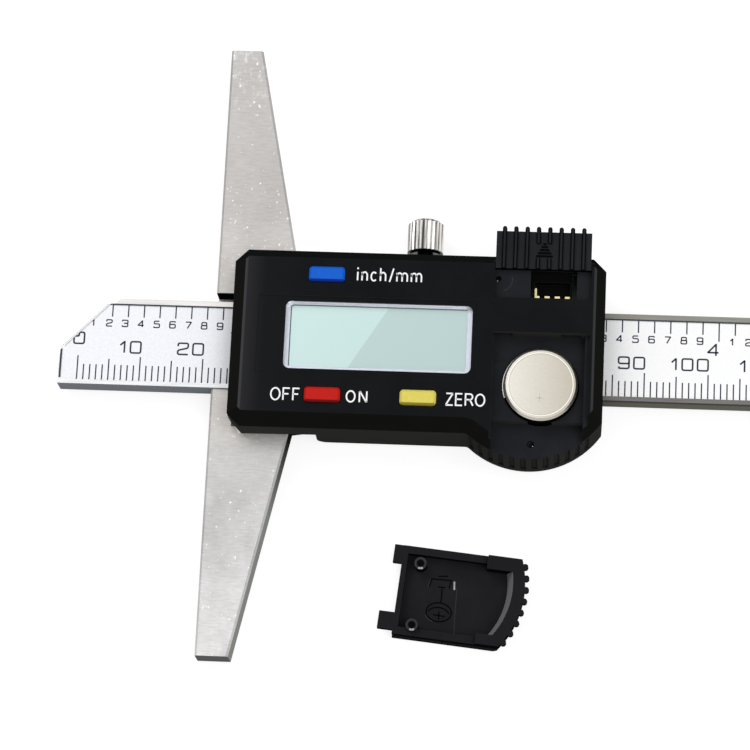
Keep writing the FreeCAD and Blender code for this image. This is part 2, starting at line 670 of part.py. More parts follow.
def make_lcd():
    half_l, half_w = WINDOW_L / 2 + BEZEL_LIP, WINDOW_W / 2 + BEZEL_LIP
    rear = box(LCD_X - half_l, LCD_X + half_l, LCD_Y - half_w, LCD_Y + half_w,
               LCD_BACK_Z, LCD_BACK_Z + LCD_THICK / 2)
    front = box(LCD_X - half_l, LCD_X + half_l, LCD_Y - half_w + ZEBRA_W, LCD_Y + half_w,
                LCD_BACK_Z + LCD_THICK / 2, LCD_FRONT_Z)
    return fuse([rear, front])


def make_zebra():
    half_l, half_w = WINDOW_L / 2 - 1, WINDOW_W / 2 + BEZEL_LIP
    strips = []
    for y in (LCD_Y - half_w, LCD_Y + half_w - ZEBRA_W):
        strips.append(box(LCD_X - half_l, LCD_X + half_l, y, y + ZEBRA_W, PCB_TOP_Z, LCD_BACK_Z))
    return Part.makeCompound(strips)


def make_pcb():
    outline = ((PCB_X0, -PCB_NARROW_Y), (PCB_NARROW_X, -PCB_NARROW_Y), (PCB_NARROW_X, -PCB_HALF_Y),
               (PCB_X1, -PCB_HALF_Y), (PCB_X1, PCB_PORT_Y), (PCB_PORT_X, PCB_PORT_Y),
               (PCB_PORT_X, PCB_HALF_Y), (PCB_NARROW_X, PCB_HALF_Y), (PCB_NARROW_X, PCB_NARROW_Y),
               (PCB_X0, PCB_NARROW_Y))
    board = prism(outline, PCB_Z, PCB_TOP_Z)
    return cut(board, [boss_block(x, y, BOSS_GAP, PCB_Z - 1, PCB_TOP_Z + 1) for x, y in HOUSING_SCREWS])


def make_chip():
    """Resin blob over the chip, taken as a sixteen-sided frustum."""
    rings = []
    for z, radius in ((PCB_TOP_Z, CHIP_D / 2), (PCB_TOP_Z + CHIP_H, CHIP_D / 2 - CHIP_EDGE)):
        turns = [2 * math.pi * i / CHIP_SIDES for i in range(CHIP_SIDES)]
        corners = [V(LCD_X + radius * math.cos(turn), LCD_Y + radius * math.sin(turn), z) for turn in turns]
        rings.append(Part.makePolygon(corners + corners[:1]))
    return Part.makeLoft(rings, True, True)


def make_domes():
    """Four-legged snap domes of thin sheet on the board, one under each button."""
    reach, pad = DOME_D / 2, DOME_PAD / 2
    low, high = PCB_TOP_Z, PCB_TOP_Z + DOME_H
    profile = ((-reach, low), (-pad, high), (pad, high), (reach, low), (reach - DOME_T, low),
               (pad - DOME_T / 2, high - DOME_T), (DOME_T / 2 - pad, high - DOME_T), (DOME_T - reach, low))
    domes = []
    for x, y in (UNIT_BUTTON, POWER_BUTTON, ZERO_BUTTON):
        wire = Part.makePolygon([V(x + u, y - DOME_LEG_W / 2, z) for u, z in profile + profile[:1]])
        bridge = Part.Face(wire).extrude(V(0, DOME_LEG_W, 0))
        across = bridge.copy()
        across.rotate(V(x, y, 0), V(0, 0, 1), 90)
        domes.append(fuse([bridge, across]))
    return Part.makeCompound(domes)


def make_button(x, y):
    cap = rounded_block(x, y, BUTTON_L, BUTTON_W, BUTTON_R, CEILING_Z, FRONT_Z + BUTTON_PROUD)
    top_z = FRONT_Z + BUTTON_PROUD
    rim = [edge for edge in cap.Edges
           if abs(edge.BoundBox.ZMin - top_z) < 1e-6 and abs(edge.BoundBox.ZMax - top_z) < 1e-6]
    cap = cap.makeChamfer(BUTTON_CROWN, rim)
    half_l, half_w = BUTTON_L / 2 + BUTTON_FLANGE, BUTTON_W / 2 + BUTTON_FLANGE
    flange = box(x - half_l, x + half_l, y - half_w, y + half_w, CEILING_Z - BUTTON_FLANGE_T, CEILING_Z)
    stem_z = PCB_TOP_Z + DOME_H + BUTTON_TRAVEL + BACK_GAP / 2
    stem = box(x - BUTTON_STEM_L / 2, x + BUTTON_STEM_L / 2, y - BUTTON_STEM_W / 2,
               y + BUTTON_STEM_W / 2, stem_z, CEILING_Z)
    return fuse([cap, flange, stem])


# ================================================================ data port
def make_connector():
    x0, x1 = CONNECTOR_X - CONNECTOR_L / 2, CONNECTOR_X + CONNECTOR_L / 2
    top = PCB_TOP_Z + CONNECTOR_H
    block = box(x0, x1, CONNECTOR_Y0, CONNECTOR_Y1, PCB_TOP_Z, top)
    mouth = box(x0 + CONNECTOR_WALL, x1 - CONNECTOR_WALL, CONNECTOR_Y0 - 1, CONNECTOR_MOUTH_Y,
                top - CONNECTOR_MOUTH_DEPTH, top + 1)
    return cut(block, [mouth] + pin_shapes())


def pin_shapes():
    """Contacts let into the connector: a pad and a leg each, the first one with a long tongue."""
    shelf = PCB_TOP_Z + CONNECTOR_H - CONNECTOR_MOUTH_DEPTH
    pins = []
    for i in range(PINS):
        x = CONNECTOR_X + (i - (PINS - 1) / 2) * PIN_PITCH - PIN_W / 2
        flats = [box(x, x + PIN_W, CONNECTOR_Y0, CONNECTOR_Y0 + PIN_PAD, shelf - PIN_T, shelf)]
        if i == 0:
            flats.append(box(x, x + PIN_TONGUE_W, CONNECTOR_Y0, CONNECTOR_Y0 + PIN_TONGUE,
                             shelf - PIN_T, shelf))
        leg = box(x, x + PIN_W, CONNECTOR_Y0, CONNECTOR_Y0 + PIN_T, PCB_TOP_Z, shelf)
        pins.append(fuse(flats + [leg]))
    return pins


def make_pins():
    return Part.makeCompound(pin_shapes())


def port_rib(x, y0, y1):
    """Grip rib of the port cover, chamfered along both top edges and narrowed at its far end."""
    top = PORT_Z + PORT_COVER_T
    half = PORT_RIB_W / 2
    plan = ((x - half, y0), (x + half, y0), (x + half, y1 - PORT_RIB_EDGE), (x + half - PORT_RIB_EDGE, y1),
            (x - half + PORT_RIB_EDGE, y1), (x - half, y1 - PORT_RIB_EDGE))
    rib = prism(plan, PORT_Z, top + PORT_RIB_H)
    long_edges = [edge for edge in rib.Edges if edge.BoundBox.YLength > PORT_RIB_W
                  and edge.BoundBox.ZMin > top]
    return rib.makeChamfer(PORT_RIB_EDGE, long_edges)


def make_port_cover():
    x0, x1 = PORT_X0 + PORT_COVER_GAP, PORT_X1 - PORT_COVER_GAP
    y0, y1 = PORT_COVER_Y, PORT_COVER_Y + PORT_COVER_L
    top = PORT_Z + PORT_COVER_T
    plate = box(x0, x1, y0, y1, PORT_Z, top)
    tongues = box(x0 - PORT_GROOVE + PORT_COVER_GAP / 2, x1 + PORT_GROOVE - PORT_COVER_GAP / 2,
                  y0, PORT_GROOVE_END_Y - PORT_COVER_GAP, PORT_Z, PORT_Z + PORT_GROOVE_H - SLIDE_GAP)
    middle = (x0 + x1) / 2
    ribs = []
    for i in range(PORT_RIBS):
        x = middle + (i - (PORT_RIBS - 1) / 2) * PORT_RIB_PITCH
        if i in PORT_ARROW_RIBS:
            ribs.append(port_rib(x, y0, PORT_ARROW_Y0))
            ribs.append(port_rib(x, PORT_ARROW_Y1, y1 + PORT_RIB_OVER))
        else:
            ribs.append(port_rib(x, y0, y1 + PORT_RIB_OVER))
    return fuse([plate, tongues] + ribs)


# ================================================================ battery
def make_cell():
    """Button cell: positive can, and the smaller negative cap below it."""
    can = rod(CELL_X, CELL_Y, CELL_Z + CELL_CAP_H, CELL_TOP_Z, CELL_D)
    rim = [edge for edge in can.Edges if edge.BoundBox.ZMin > CELL_TOP_Z - 1e-6]
    can = can.makeChamfer(CELL_RIM, rim)
    cap = rod(CELL_X, CELL_Y, CELL_Z, CELL_Z + CELL_CAP_H, CELL_CAP_D)
    return fuse([can, cap])


def make_negative_contact():
    z0 = FRAME_TOP_Z + WELL_FLOOR
    return rod(CELL_X, CELL_Y, z0, z0 + CONTACT_T, CELL_D / 2)


def make_positive_contact():
    outer = rod(CELL_X, CELL_Y, CELL_Z, BAY_FLOOR_Z, CELL_D + 2 * CELL_GAP)
    inner = rod(CELL_X, CELL_Y, CELL_Z - 1, BAY_FLOOR_Z + 1, CELL_D + 2 * CONTACT_GAP)
    sides = [(CELL_X + CELL_D * math.cos(math.radians(angle)),
              CELL_Y + CELL_D * math.sin(math.radians(angle))) for angle in CONTACT_ARC]
    wedge = prism([(CELL_X, CELL_Y)] + sides, CELL_Z, BAY_FLOOR_Z)
    return outer.cut(inner).common(wedge)


def make_battery_cover():
    half = COVER_W / 2

    def arc_x(y, radius):
        return COVER_ARC_X + math.sqrt(radius ** 2 - (y - COVER_ARC_Y) ** 2)

    def outline(z, radius, side):
        low, high = V(0, -side, z), V(0, side, z)
        low_end, high_end = V(arc_x(-side, radius), -side, z), V(arc_x(side, radius), side, z)
        tip = V(COVER_ARC_X + radius, COVER_ARC_Y, z)
        return Part.Wire([Part.makeLine(low, low_end), Part.Arc(low_end, tip, high_end).toShape(),
                          Part.makeLine(high_end, high), Part.makeLine(high, low)])

    def plan(z0, z1, radius, side):
        return Part.Face(outline(z0, radius, side)).extrude(V(0, 0, z1 - z0))

    rim_side = half - COVER_RIM_IN
    plate = Part.makeLoft([outline(0, COVER_ARC_R - COVER_EDGE_IN, half),
                           outline(COVER_T, COVER_ARC_R, half)], True, True)
    rim = plan(COVER_T, COVER_RIM_Z, COVER_ARC_R, rim_side)
    arc_wall = plan(COVER_T, COVER_ARC_Z, COVER_ARC_R, rim_side)
    arc_wall = arc_wall.cut(box(-1, arc_x(rim_side, COVER_ARC_R) - COVER_ARC_WALL_L, -half, half,
                                0, COVER_ARC_Z + 1))
    knobs = []
    for i in range(COVER_KNOBS):
        angle = math.radians(COVER_KNOB_DEG - i * COVER_KNOB_PITCH_DEG)
        radius = COVER_ARC_R + COVER_KNOB_OUT
        x, y = COVER_ARC_X + radius * math.cos(angle), COVER_ARC_Y + radius * math.sin(angle)
        turns = [angle + math.pi * (2 * k + 1) / COVER_KNOB_SIDES for k in range(COVER_KNOB_SIDES)]
        knobs.append(prism([(x + COVER_KNOB_R * math.cos(turn), y + COVER_KNOB_R * math.sin(turn))
                            for turn in turns], COVER_RIM_Z, COVER_ARC_Z))
    inner_r = COVER_ARC_R - COVER_ARC_WALL
    hollow = Part.makeLoft([outline(COVER_T, inner_r - COVER_SLOPE, rim_side - COVER_RIM_W),
                            outline(COVER_ARC_Z, inner_r, rim_side - COVER_RIM_W)], True, True)
    hollow = hollow.cut(box(-1, COVER_END_W, -half, half, 0, COVER_ARC_Z + 2))
    shell = fuse([plate, rim, arc_wall] + knobs).cut(hollow)
    lugs = [box(x, COVER_END_W, y0, y1, COVER_LUG_Z, COVER_RIM_Z) for x, y0, y1 in COVER_LUGS]
    inside = plan(COVER_T, COVER_ARC_Z, COVER_ARC_R, rim_side)
    blocks = [box(x0, x1, y0, y1, COVER_T, COVER_ARC_Z).common(inside)
              for x0, x1, y0, y1 in COVER_BLOCKS]
    posts = [rod(x, y, 0, COVER_POST_Z, COVER_POST_D) for x, y in COVER_POSTS]
    cover = fuse([shell] + lugs + blocks + posts)
    cover.rotate(V(0, 0, 0), V(0, 0, 1), COVER_TURN_DEG)
    cover.translate(V(COVER_X, COVER_Y, 0))
    return cover


# ================================================================ lock screw
def make_lock_screw():
    """Knurled thumb screw along Y; both ends of the knurl are turned down to a cone."""
    root_r = LOCK_HEAD_D / 2 - LOCK_TOOTH
    y0, y1 = LOCK_HEAD_Y, LOCK_HEAD_Y + LOCK_HEAD_L
    points = []
    for i in range(2 * LOCK_TEETH):
        angle = math.pi * i / LOCK_TEETH
        radius = root_r if i % 2 else LOCK_HEAD_D / 2
        points.append(V(LOCK_X + radius * math.cos(angle), y0 + LOCK_BASE_CROWN,
                        BEAM_MID_Z + radius * math.sin(angle)))
    wire = Part.makePolygon(points + points[:1])
    knurl = Part.Face(wire).extrude(V(0, LOCK_HEAD_L - LOCK_BASE_CROWN - LOCK_CROWN, 0))
    core = Part.makeCone(root_r - LOCK_BASE_CROWN, root_r, LOCK_BASE_CROWN,
                         V(LOCK_X, y0, BEAM_MID_Z), V(0, 1, 0))
    crown = Part.makeCone(root_r, root_r - LOCK_CROWN, LOCK_CROWN,
                          V(LOCK_X, y1 - LOCK_CROWN, BEAM_MID_Z), V(0, 1, 0))
    shank = rod_y(LOCK_X, BEAM_MID_Z, LOCK_PAD_Y + LOCK_PAD_L, y0 + LOCK_BASE_CROWN, LOCK_SHANK_D)
    return fuse([knurl, core, crown, shank])


def make_lock_pad():
    return rod_y(LOCK_X, BEAM_MID_Z, LOCK_PAD_Y, LOCK_PAD_Y + LOCK_PAD_L, LOCK_SHANK_D)


NODES = {
    "beam_bar": make_beam_bar,
    "scale_circuit_strip": make_scale_pcb,
    "scale_label": make_scale_label,
    "beam_stop_screws": make_stop_screws,
    "base_foot": make_foot,
    "slider_frame": make_frame,
    "base_screws": make_base_screws,
    "gib_strip": make_gib,
    "gib_set_screws": make_gib_screws,
    "housing_shell": make_housing,
    "housing_screws": make_housing_screws,
    "display_window": make_window,
    "lcd_bezel": make_bezel,
    "lcd_panel": make_lcd,
    "lcd_contact_strips": make_zebra,
    "main_circuit_board": make_pcb,
    "chip_cover_blob": make_chip,
    "button_snap_domes": make_domes,
    "button_unit": lambda: make_button(*UNIT_BUTTON),
    "button_power": lambda: make_button(*POWER_BUTTON),
    "button_zero": lambda: make_button(*ZERO_BUTTON),
    "data_port_connector": make_connector,
    "data_port_pins": make_pins,
    "data_port_cover": make_port_cover,
    "battery_cell": make_cell,
    "battery_contact_negative": make_negative_contact,
    "battery_contact_positive": make_positive_contact,
    "battery_cover": make_battery_cover,
    "lock_screw": make_lock_screw,
    "lock_pad": make_lock_pad,
}

os.makedirs("parts", exist_ok=True)
for name, maker in NODES.items():
    shape = maker()
    shape.exportStep("parts/" + name + ".step")
    bounds = shape.BoundBox
    print(name, len(shape.Solids), shape.isValid(), round(shape.Volume, 1),
          [round(v, 2) for v in (bounds.XMin, bounds.XMax, bounds.YMin, bounds.YMax,
                                 bounds.ZMin, bounds.ZMax)])
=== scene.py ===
"""Looks of a digital depth gauge lying on its back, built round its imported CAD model.

Lengths are written in millimetres in the part's frame (+X along the beam, +Y along the foot,
+Z out of the display) and turned into metres by MM.
"""
import math

import bmesh
import bpy
from mathutils import Matrix, Vector


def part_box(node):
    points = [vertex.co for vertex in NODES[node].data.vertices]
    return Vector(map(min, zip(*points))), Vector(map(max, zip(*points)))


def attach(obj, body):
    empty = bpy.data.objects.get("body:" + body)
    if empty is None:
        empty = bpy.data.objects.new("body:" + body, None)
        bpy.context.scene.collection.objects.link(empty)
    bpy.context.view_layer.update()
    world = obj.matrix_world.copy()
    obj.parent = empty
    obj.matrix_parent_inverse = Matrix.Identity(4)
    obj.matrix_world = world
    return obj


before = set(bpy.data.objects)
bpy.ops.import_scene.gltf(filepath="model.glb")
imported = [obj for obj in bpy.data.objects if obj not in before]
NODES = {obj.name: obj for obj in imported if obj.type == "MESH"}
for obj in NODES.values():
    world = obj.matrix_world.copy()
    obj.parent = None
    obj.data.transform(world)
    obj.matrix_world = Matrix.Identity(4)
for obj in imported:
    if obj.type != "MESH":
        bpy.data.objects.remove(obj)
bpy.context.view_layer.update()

MM = 0.001

# ---------------------------------------------------------------- camera
CAMERA_PLACE = (57.20, -132.11, 484.55)
CAMERA_TARGET = (25.645, -2.750, 0.0)
CAMERA_ROLL_DEG = 2.782
CAMERA_LENS = 150.70
CAMERA_SENSOR = 36.0


# ---------------------------------------------------------------- places taken from the CAD nodes
def low_mm(node):
    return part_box(node)[0] / MM


def high_mm(node):
    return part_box(node)[1] / MM


LABEL_LOW = low_mm("scale_label")
LABEL_HIGH = high_mm("scale_label")
HOUSING_HIGH = high_mm("housing_shell")
CELL_LOW = low_mm("battery_cell")
CELL_HIGH = high_mm("battery_cell")
BEZEL_LOW = low_mm("lcd_bezel")
BEZEL_HIGH = high_mm("lcd_bezel")
RIM_Z = high_mm("beam_bar").z
INK_RISE = 0.02

# ---------------------------------------------------------------- scale on the beam
SCALE_ZERO_X = -21.53
SCALE_END_MM = 150
SCALE_END_INCH = 6
INCH = 25.4
TICK_W = 0.2
TICK_MM = 2.35
TICK_5MM = 3.3
TICK_10MM = 3.75
TICK_TENTH = 2.1
TICK_INCH = 3.15
NUMERAL_RISE = 0.52
NUMERAL_H = 2.12
NUMERAL_W = 1.92
NUMERAL_STROKE = 0.27
NUMERAL_GAP = 0.5
ZERO_SHIFT = (0.85, 1.3)
TENTH_H = 1.25
TENTH_W = 1.08
TENTH_STROKE = 0.2
TENTH_DROP = 0.43
INCH_H = 2.15
INCH_W = 1.95
INCH_RISE = 0.32
ONE_WIDTH = 0.5
ONE_SPACE = 0.4
ONE_GAP = 0.2
BEAM_TIP_X = -24.6
BEAM_HALF = 7.1
BEVEL_FOOT_Y = -1.0
BEVEL_RUN = 7.8
PRINT_INSET = 0.58
HEM = 0.2
# Lines of painted shade along the label's edges: how far they reach inside and outside its edge.
EDGE_LINE = (0.18, 0.07)
END_LINE = (0.24, 0.08)
BEVEL_LINE_W = 0.1


WHITE = (1.0, 1.0, 1.0, 1.0)


def srgb(red, green, blue):
    """Linear colour of a displayed one, 0 to 255."""
    linear = []
    for value in (red, green, blue):
        c = value / 255
        linear.append(c / 12.92 if c <= 0.04045 else ((c + 0.055) / 1.055) ** 2.4)
    return (linear[0], linear[1], linear[2], 1.0)


def scaled(colour, factor):
    return tuple(min(c * factor, 1.0) for c in colour[:3]) + (1.0,)


# ================================================================ meshes
def new_piece(name, mesh, body, material):
    piece = bpy.data.objects.new(name, mesh)
    bpy.context.scene.collection.objects.link(piece)
    mesh.materials.append(material)
    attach(piece, body)
    return piece


def mesh_from(bm, name):
    mesh = bpy.data.meshes.new(name)
    bm.to_mesh(mesh)
    bm.free()
    return mesh


def add_quad(bm, corners, z):
    bm.faces.new([bm.verts.new((x * MM, y * MM, z * MM)) for x, y in corners])


def add_bar(bm, x0, x1, y0, y1, z):
    add_quad(bm, ((x0, y0), (x1, y0), (x1, y1), (x0, y1)), z)


def add_block(bm, x0, x1, y0, y1, z0, z1):
    made = bmesh.ops.create_cube(bm, size=1.0)
    centre = Vector((x0 + x1, y0 + y1, z0 + z1)) * MM / 2
    size = Vector((x1 - x0, y1 - y0, z1 - z0)) * MM
    bmesh.ops.transform(bm, verts=made["verts"],
                        matrix=Matrix.Translation(centre) @ Matrix.Diagonal((*size, 1.0)))


def oval(cx, cy, rx, ry, start_deg=0, end_deg=360, steps=20):
    """Points along an ellipse; a full turn leaves out the repeated last point."""
    count = steps if end_deg - start_deg == 360 else steps + 1
    turns = [math.radians(start_deg + (end_deg - start_deg) * i / steps) for i in range(count)]
    return tuple((cx + rx * math.cos(turn), cy + ry * math.sin(turn)) for turn in turns)


def rounded_path(points, closed, radius, steps=4):
    """The same path with each corner turned into an arc of the given radius."""
    if radius <= 0:
        return [Vector(point) for point in points]
    path = []
    count = len(points)
    for i, point in enumerate(points):
        here = Vector(point)
        if not closed and i in (0, count - 1):
            path.append(here)
            continue
        before = Vector(points[i - 1])
        after = Vector(points[(i + 1) % count])
        back, ahead = (before - here), (after - here)
        reach = min(radius, back.length / 2, ahead.length / 2)
        start = here + back.normalized() * reach
        end = here + ahead.normalized() * reach
        for step in range(steps + 1):
            t = step / steps
            path.append(start * (1 - t) ** 2 + here * 2 * t * (1 - t) + end * t ** 2)
    return path


def add_stroke(bm, path, closed, width, z):
    """Flat ribbon of the given width along a path, mitred at its corners."""
    count = len(path)
    sides = []
    for i, here in enumerate(path):
        before = path[i - 1] if closed or i > 0 else None
        after = path[(i + 1) % count] if closed or i < count - 1 else None
        directions = []
        if before is not None:
            directions.append((here - before).normalized())
        if after is not None:
            directions.append((after - here).normalized())
        along = sum(directions, Vector((0.0, 0.0))).normalized()
        across = Vector((-along.y, along.x))
        stretch = max(0.5, across.dot(Vector((-directions[0].y, directions[0].x))))
        offset = across * (width / 2 / stretch)
        sides.append((bm.verts.new(((here + offset).x * MM, (here + offset).y * MM, z * MM)),
                      bm.verts.new(((here - offset).x * MM, (here - offset).y * MM, z * MM))))
    pairs = list(zip(sides, sides[1:]))
    if closed:
        pairs.append((sides[-1], sides[0]))
    for (left0, right0), (left1, right1) in pairs:
        bm.faces.new((right0, right1, left1, left0))


def stroke_piece(name, paths, width, z, body, material):
    """One flat piece of several strokes; each path is (closed, points)."""
    bm = bmesh.new()
    for closed, points in paths:
        add_stroke(bm, [Vector(point) for point in points], closed, width, z)
    return new_piece(name, mesh_from(bm, name), body, material)


# ================================================================ numerals of the scale
# Squared numerals of a ruler's scale, drawn in a unit box: (closed, corners) for each stroke.
GLYPHS = {
    "0": ((True, ((0, 0), (1, 0), (1, 1), (0, 1))),),
    "1": ((False, ((0, 0.66), (1, 1), (1, 0))),),
    "2": ((False, ((0.02, 0.72), (0.02, 1), (1, 1), (1, 0.58), (0, 0.36), (0, 0), (1, 0))),),
    "3": ((False, ((0, 0.8), (0, 1), (1, 1), (1, 0.52), (0.3, 0.52))),
          (False, ((0.3, 0.52), (1, 0.52), (1, 0), (0, 0), (0, 0.2)))),
    "4": ((False, ((0.76, 0), (0.76, 1), (0, 0.27), (1, 0.27))),),
    "5": ((False, ((0.96, 1), (0.04, 1), (0.04, 0.58), (1, 0.58), (1, 0), (0, 0), (0, 0.16))),),
    "6": ((True, ((0, 0), (1, 0), (1, 0.57), (0, 0.57))),
          (False, ((0, 0.4), (0, 1), (0.96, 1), (0.96, 0.84)))),
    "7": ((False, ((0, 1), (1, 1), (0.34, 0))),),
    "8": ((True, ((0.06, 0.53), (0.94, 0.53), (0.94, 1), (0.06, 1))),
          (True, ((0, 0), (1, 0), (1, 0.53), (0, 0.53)))),
    "9": ((True, ((0, 0.43), (1, 0.43), (1, 1), (0, 1))),
          (False, ((0.04, 0.16), (0.04, 0), (1, 0), (1, 0.6)))),
}
SHARP_GLYPHS = ("1", "4", "7")
CORNER_SHARE = 0.15
SHARP_SHARE = 0.04


def add_number(bm, text, right, bottom, height, width, gap, stroke, z):
    """Writes text with its right edge at right and its base at bottom."""
    x = right - (ONE_SPACE if text.endswith("1") else 0.0)
    for place, letter in reversed(list(enumerate(text))):
        wide = width * (ONE_WIDTH if letter == "1" else 1.0) - stroke
        if letter == "1" and place < len(text) - 1:
            x -= ONE_GAP
        tall = height - stroke
        x0 = x - wide - stroke / 2
        share = SHARP_SHARE if letter in SHARP_GLYPHS else CORNER_SHARE
        for closed, corners in GLYPHS[letter]:
            points = [(x0 + u * wide, bottom + stroke / 2 + v * tall) for u, v in corners]
            add_stroke(bm, rounded_path(points, closed, share * height), closed, stroke, z)
        x = x0 - stroke / 2 - gap


BEVEL_SLOPE = (BEAM_HALF - BEVEL_FOOT_Y) / BEVEL_RUN
BEVEL_OUTWARD = Vector((-BEVEL_SLOPE, 1.0, 0.0)).normalized()
BEVEL_START = Vector((BEAM_TIP_X, BEVEL_FOOT_Y, 0.0))


def cut_at_bevel(bm):
    """Removes what lies beyond the slanting end of the label's print."""
    bmesh.ops.bisect_plane(bm, geom=bm.verts[:] + bm.edges[:] + bm.faces[:],
                           plane_co=(BEVEL_START - BEVEL_OUTWARD * PRINT_INSET) * MM,
                           plane_no=BEVEL_OUTWARD, clear_outer=True)


def bevel_line_x(y):
    """Where the slanting end of the print crosses the given Y."""
    start = BEVEL_START - BEVEL_OUTWARD * PRINT_INSET
    return start.x + (y - start.y) / BEVEL_SLOPE


def metric_tick(n):
    if n % 10 == 0:
        return TICK_10MM
    if n % 5 == 0:
        return TICK_5MM
    return TICK_MM


def build_metric_scale(material):
    bm = bmesh.new()
    z = LABEL_HIGH.z + INK_RISE
    for n in range(SCALE_END_MM + 1):
        x = SCALE_ZERO_X + n
        length = metric_tick(n)
        left, right = x - TICK_W / 2, x + TICK_W / 2
        add_bar(bm, left, right, LABEL_LOW.y, LABEL_LOW.y + length, z)
        add_bar(bm, left, right, LABEL_LOW.y - HEM, LABEL_LOW.y, RIM_Z + 2 * INK_RISE)
        if n % 10 == 0:
            aside, rise = ZERO_SHIFT if n == 0 else (0.0, 0.0)
            add_number(bm, str(n), right + aside, LABEL_LOW.y + length + NUMERAL_RISE + rise,
                       NUMERAL_H, NUMERAL_W, NUMERAL_GAP, NUMERAL_STROKE, z)
    cut_at_bevel(bm)
    return new_piece("scale_print_metric", mesh_from(bm, "scale_print_metric"), "beam",
                     material)


def build_inch_scale(material):
    bm = bmesh.new()
    z = LABEL_HIGH.z + INK_RISE
    for n in range(SCALE_END_INCH * 10 + 1):
        x = SCALE_ZERO_X + n * INCH / 10
        whole = n % 10 == 0
        length = TICK_INCH if whole else TICK_TENTH
        add_bar(bm, x - TICK_W / 2, x + TICK_W / 2, LABEL_HIGH.y - length, LABEL_HIGH.y, z)
        base = LABEL_HIGH.y - length
        if whole:
            add_number(bm, str(n // 10), x + TICK_W / 2, base - INCH_H - INCH_RISE, INCH_H, INCH_W,
                       NUMERAL_GAP, NUMERAL_STROKE, z)
        else:
            add_number(bm, str(n % 10), x + TICK_W / 2, base - TENTH_DROP - TENTH_H, TENTH_H, TENTH_W,
                       NUMERAL_GAP, TENTH_STROKE, z)
    cut_at_bevel(bm)
    return new_piece("scale_print_inch", mesh_from(bm, "scale_print_inch"), "beam",
                     material)


def build_label_hem(film):
    """Border of the label that laps over the beam's lower rim."""
    bm = bmesh.new()
    add_block(bm, LABEL_LOW.x, LABEL_HIGH.x, LABEL_LOW.y - HEM, LABEL_LOW.y,
              RIM_Z, RIM_Z + INK_RISE)
    return new_piece("label_hem", mesh_from(bm, "label_hem"), "beam", film)


def build_label_edge(material):
    """Dark line of painted shade along the label's upper edge and its square end."""
    bm = bmesh.new()
    z = RIM_Z + INK_RISE
    top, left = LABEL_HIGH.y, LABEL_LOW.x
    add_bar(bm, bevel_line_x(top), LABEL_HIGH.x, top - EDGE_LINE[0], top + EDGE_LINE[1], z)
    add_bar(bm, left - END_LINE[1], left + END_LINE[0], LABEL_LOW.y, BEVEL_FOOT_Y, z)
    cut_at_bevel(bm)
    return new_piece("label_edge_line", mesh_from(bm, "label_edge_line"), "beam",
                     material)


def build_bevel_line(material):
    """Thin line where the print ends along the bevel."""
    low, high = BEVEL_FOOT_Y, LABEL_HIGH.y
    ends = ((bevel_line_x(low), low), (bevel_line_x(high), high))
    return stroke_piece("label_bevel_line", [(False, ends)], BEVEL_LINE_W, RIM_Z + INK_RISE, "beam",
                        material)


# ================================================================ lettering on the housing
# Plain upright letters in a unit box, as strokes (closed, points).
X_HEIGHT = 0.707
TALL = 1.07
ARCH = 0.29
BOWL_MIDDLE = 0.755
BOWL_HALF = 0.245


def arch(centre, half):
    """Rounded shoulder of a small letter, from its left foot to its right one."""
    return oval(centre, X_HEIGHT - ARCH, half, ARCH, 180, 0, 10) + ((centre + half, 0),)


LETTERS = {
    "O": ((True, oval(0.5, 0.5, 0.5, 0.5)),),
    "F": ((False, ((1, 1), (0, 1), (0, 0))), (False, ((0, 0.52), (0.84, 0.52)))),
    "N": ((False, ((0, 0), (0, 1))), (False, ((0.02, 1), (0.98, 0))), (False, ((1, 0), (1, 1)))),
    "Z": ((False, ((0.06, 1), (1, 1))), (False, ((0.96, 0.98), (0.04, 0.02))),
          (False, ((0, 0), (1.02, 0)))),
    "E": ((False, ((0.98, 1), (0, 1), (0, 0), (1, 0))), (False, ((0, 0.52), (0.92, 0.52)))),
    "R": ((False, ((0, 0), (0, 1), (0.58, 1)) + oval(0.58, BOWL_MIDDLE, 0.34, BOWL_HALF, 80, -90, 10)
           + ((0, 0.51),)),
          (False, ((0.5, 0.5), (0.7, 0.38), (1, 0)))),
    "i": ((False, ((0.5, 0), (0.5, X_HEIGHT))), (False, ((0.5, 0.93), (0.5, TALL)))),
    "n": ((False, ((0, 0), (0, X_HEIGHT))), (False, arch(0.5, 0.5))),
    "h": ((False, ((0, 0), (0, TALL))), (False, arch(0.5, 0.5))),
    "m": ((False, ((0, 0), (0, X_HEIGHT))), (False, arch(0.25, 0.25)), (False, arch(0.75, 0.25))),
    "c": ((False, oval(0.52, X_HEIGHT / 2, 0.5, X_HEIGHT / 2, 45, 315, 16)),),
    "/": ((False, ((0.1, -0.06), (0.9, 1.06))),),
}
LETTER_STROKE = 0.24
# Each word: name, box (x0, x1, y0, y1) and the share of its width that each letter takes.
WORDS = (
    ("print_inch_mm", (22.8, 33.15, 9.08, 11.29),
     (("i", 0, 0.036), ("n", 0.074, 0.175), ("c", 0.211, 0.318), ("h", 0.354, 0.455),
      ("/", 0.486, 0.581), ("m", 0.605, 0.785), ("m", 0.825, 1))),
    ("print_off", (10.22, 14.9, -10.71, -8.56), (("O", 0, 0.354), ("F", 0.412, 0.677), ("F", 0.743, 1))),
    ("print_on", (22.05, 25.45, -10.68, -8.68), (("O", 0, 0.459), ("N", 0.6, 1))),
    ("print_zero", (37.52, 43.8, -10.68, -8.58),
     (("Z", 0, 0.215), ("E", 0.25, 0.449), ("R", 0.49, 0.715), ("O", 0.741, 1))),
)


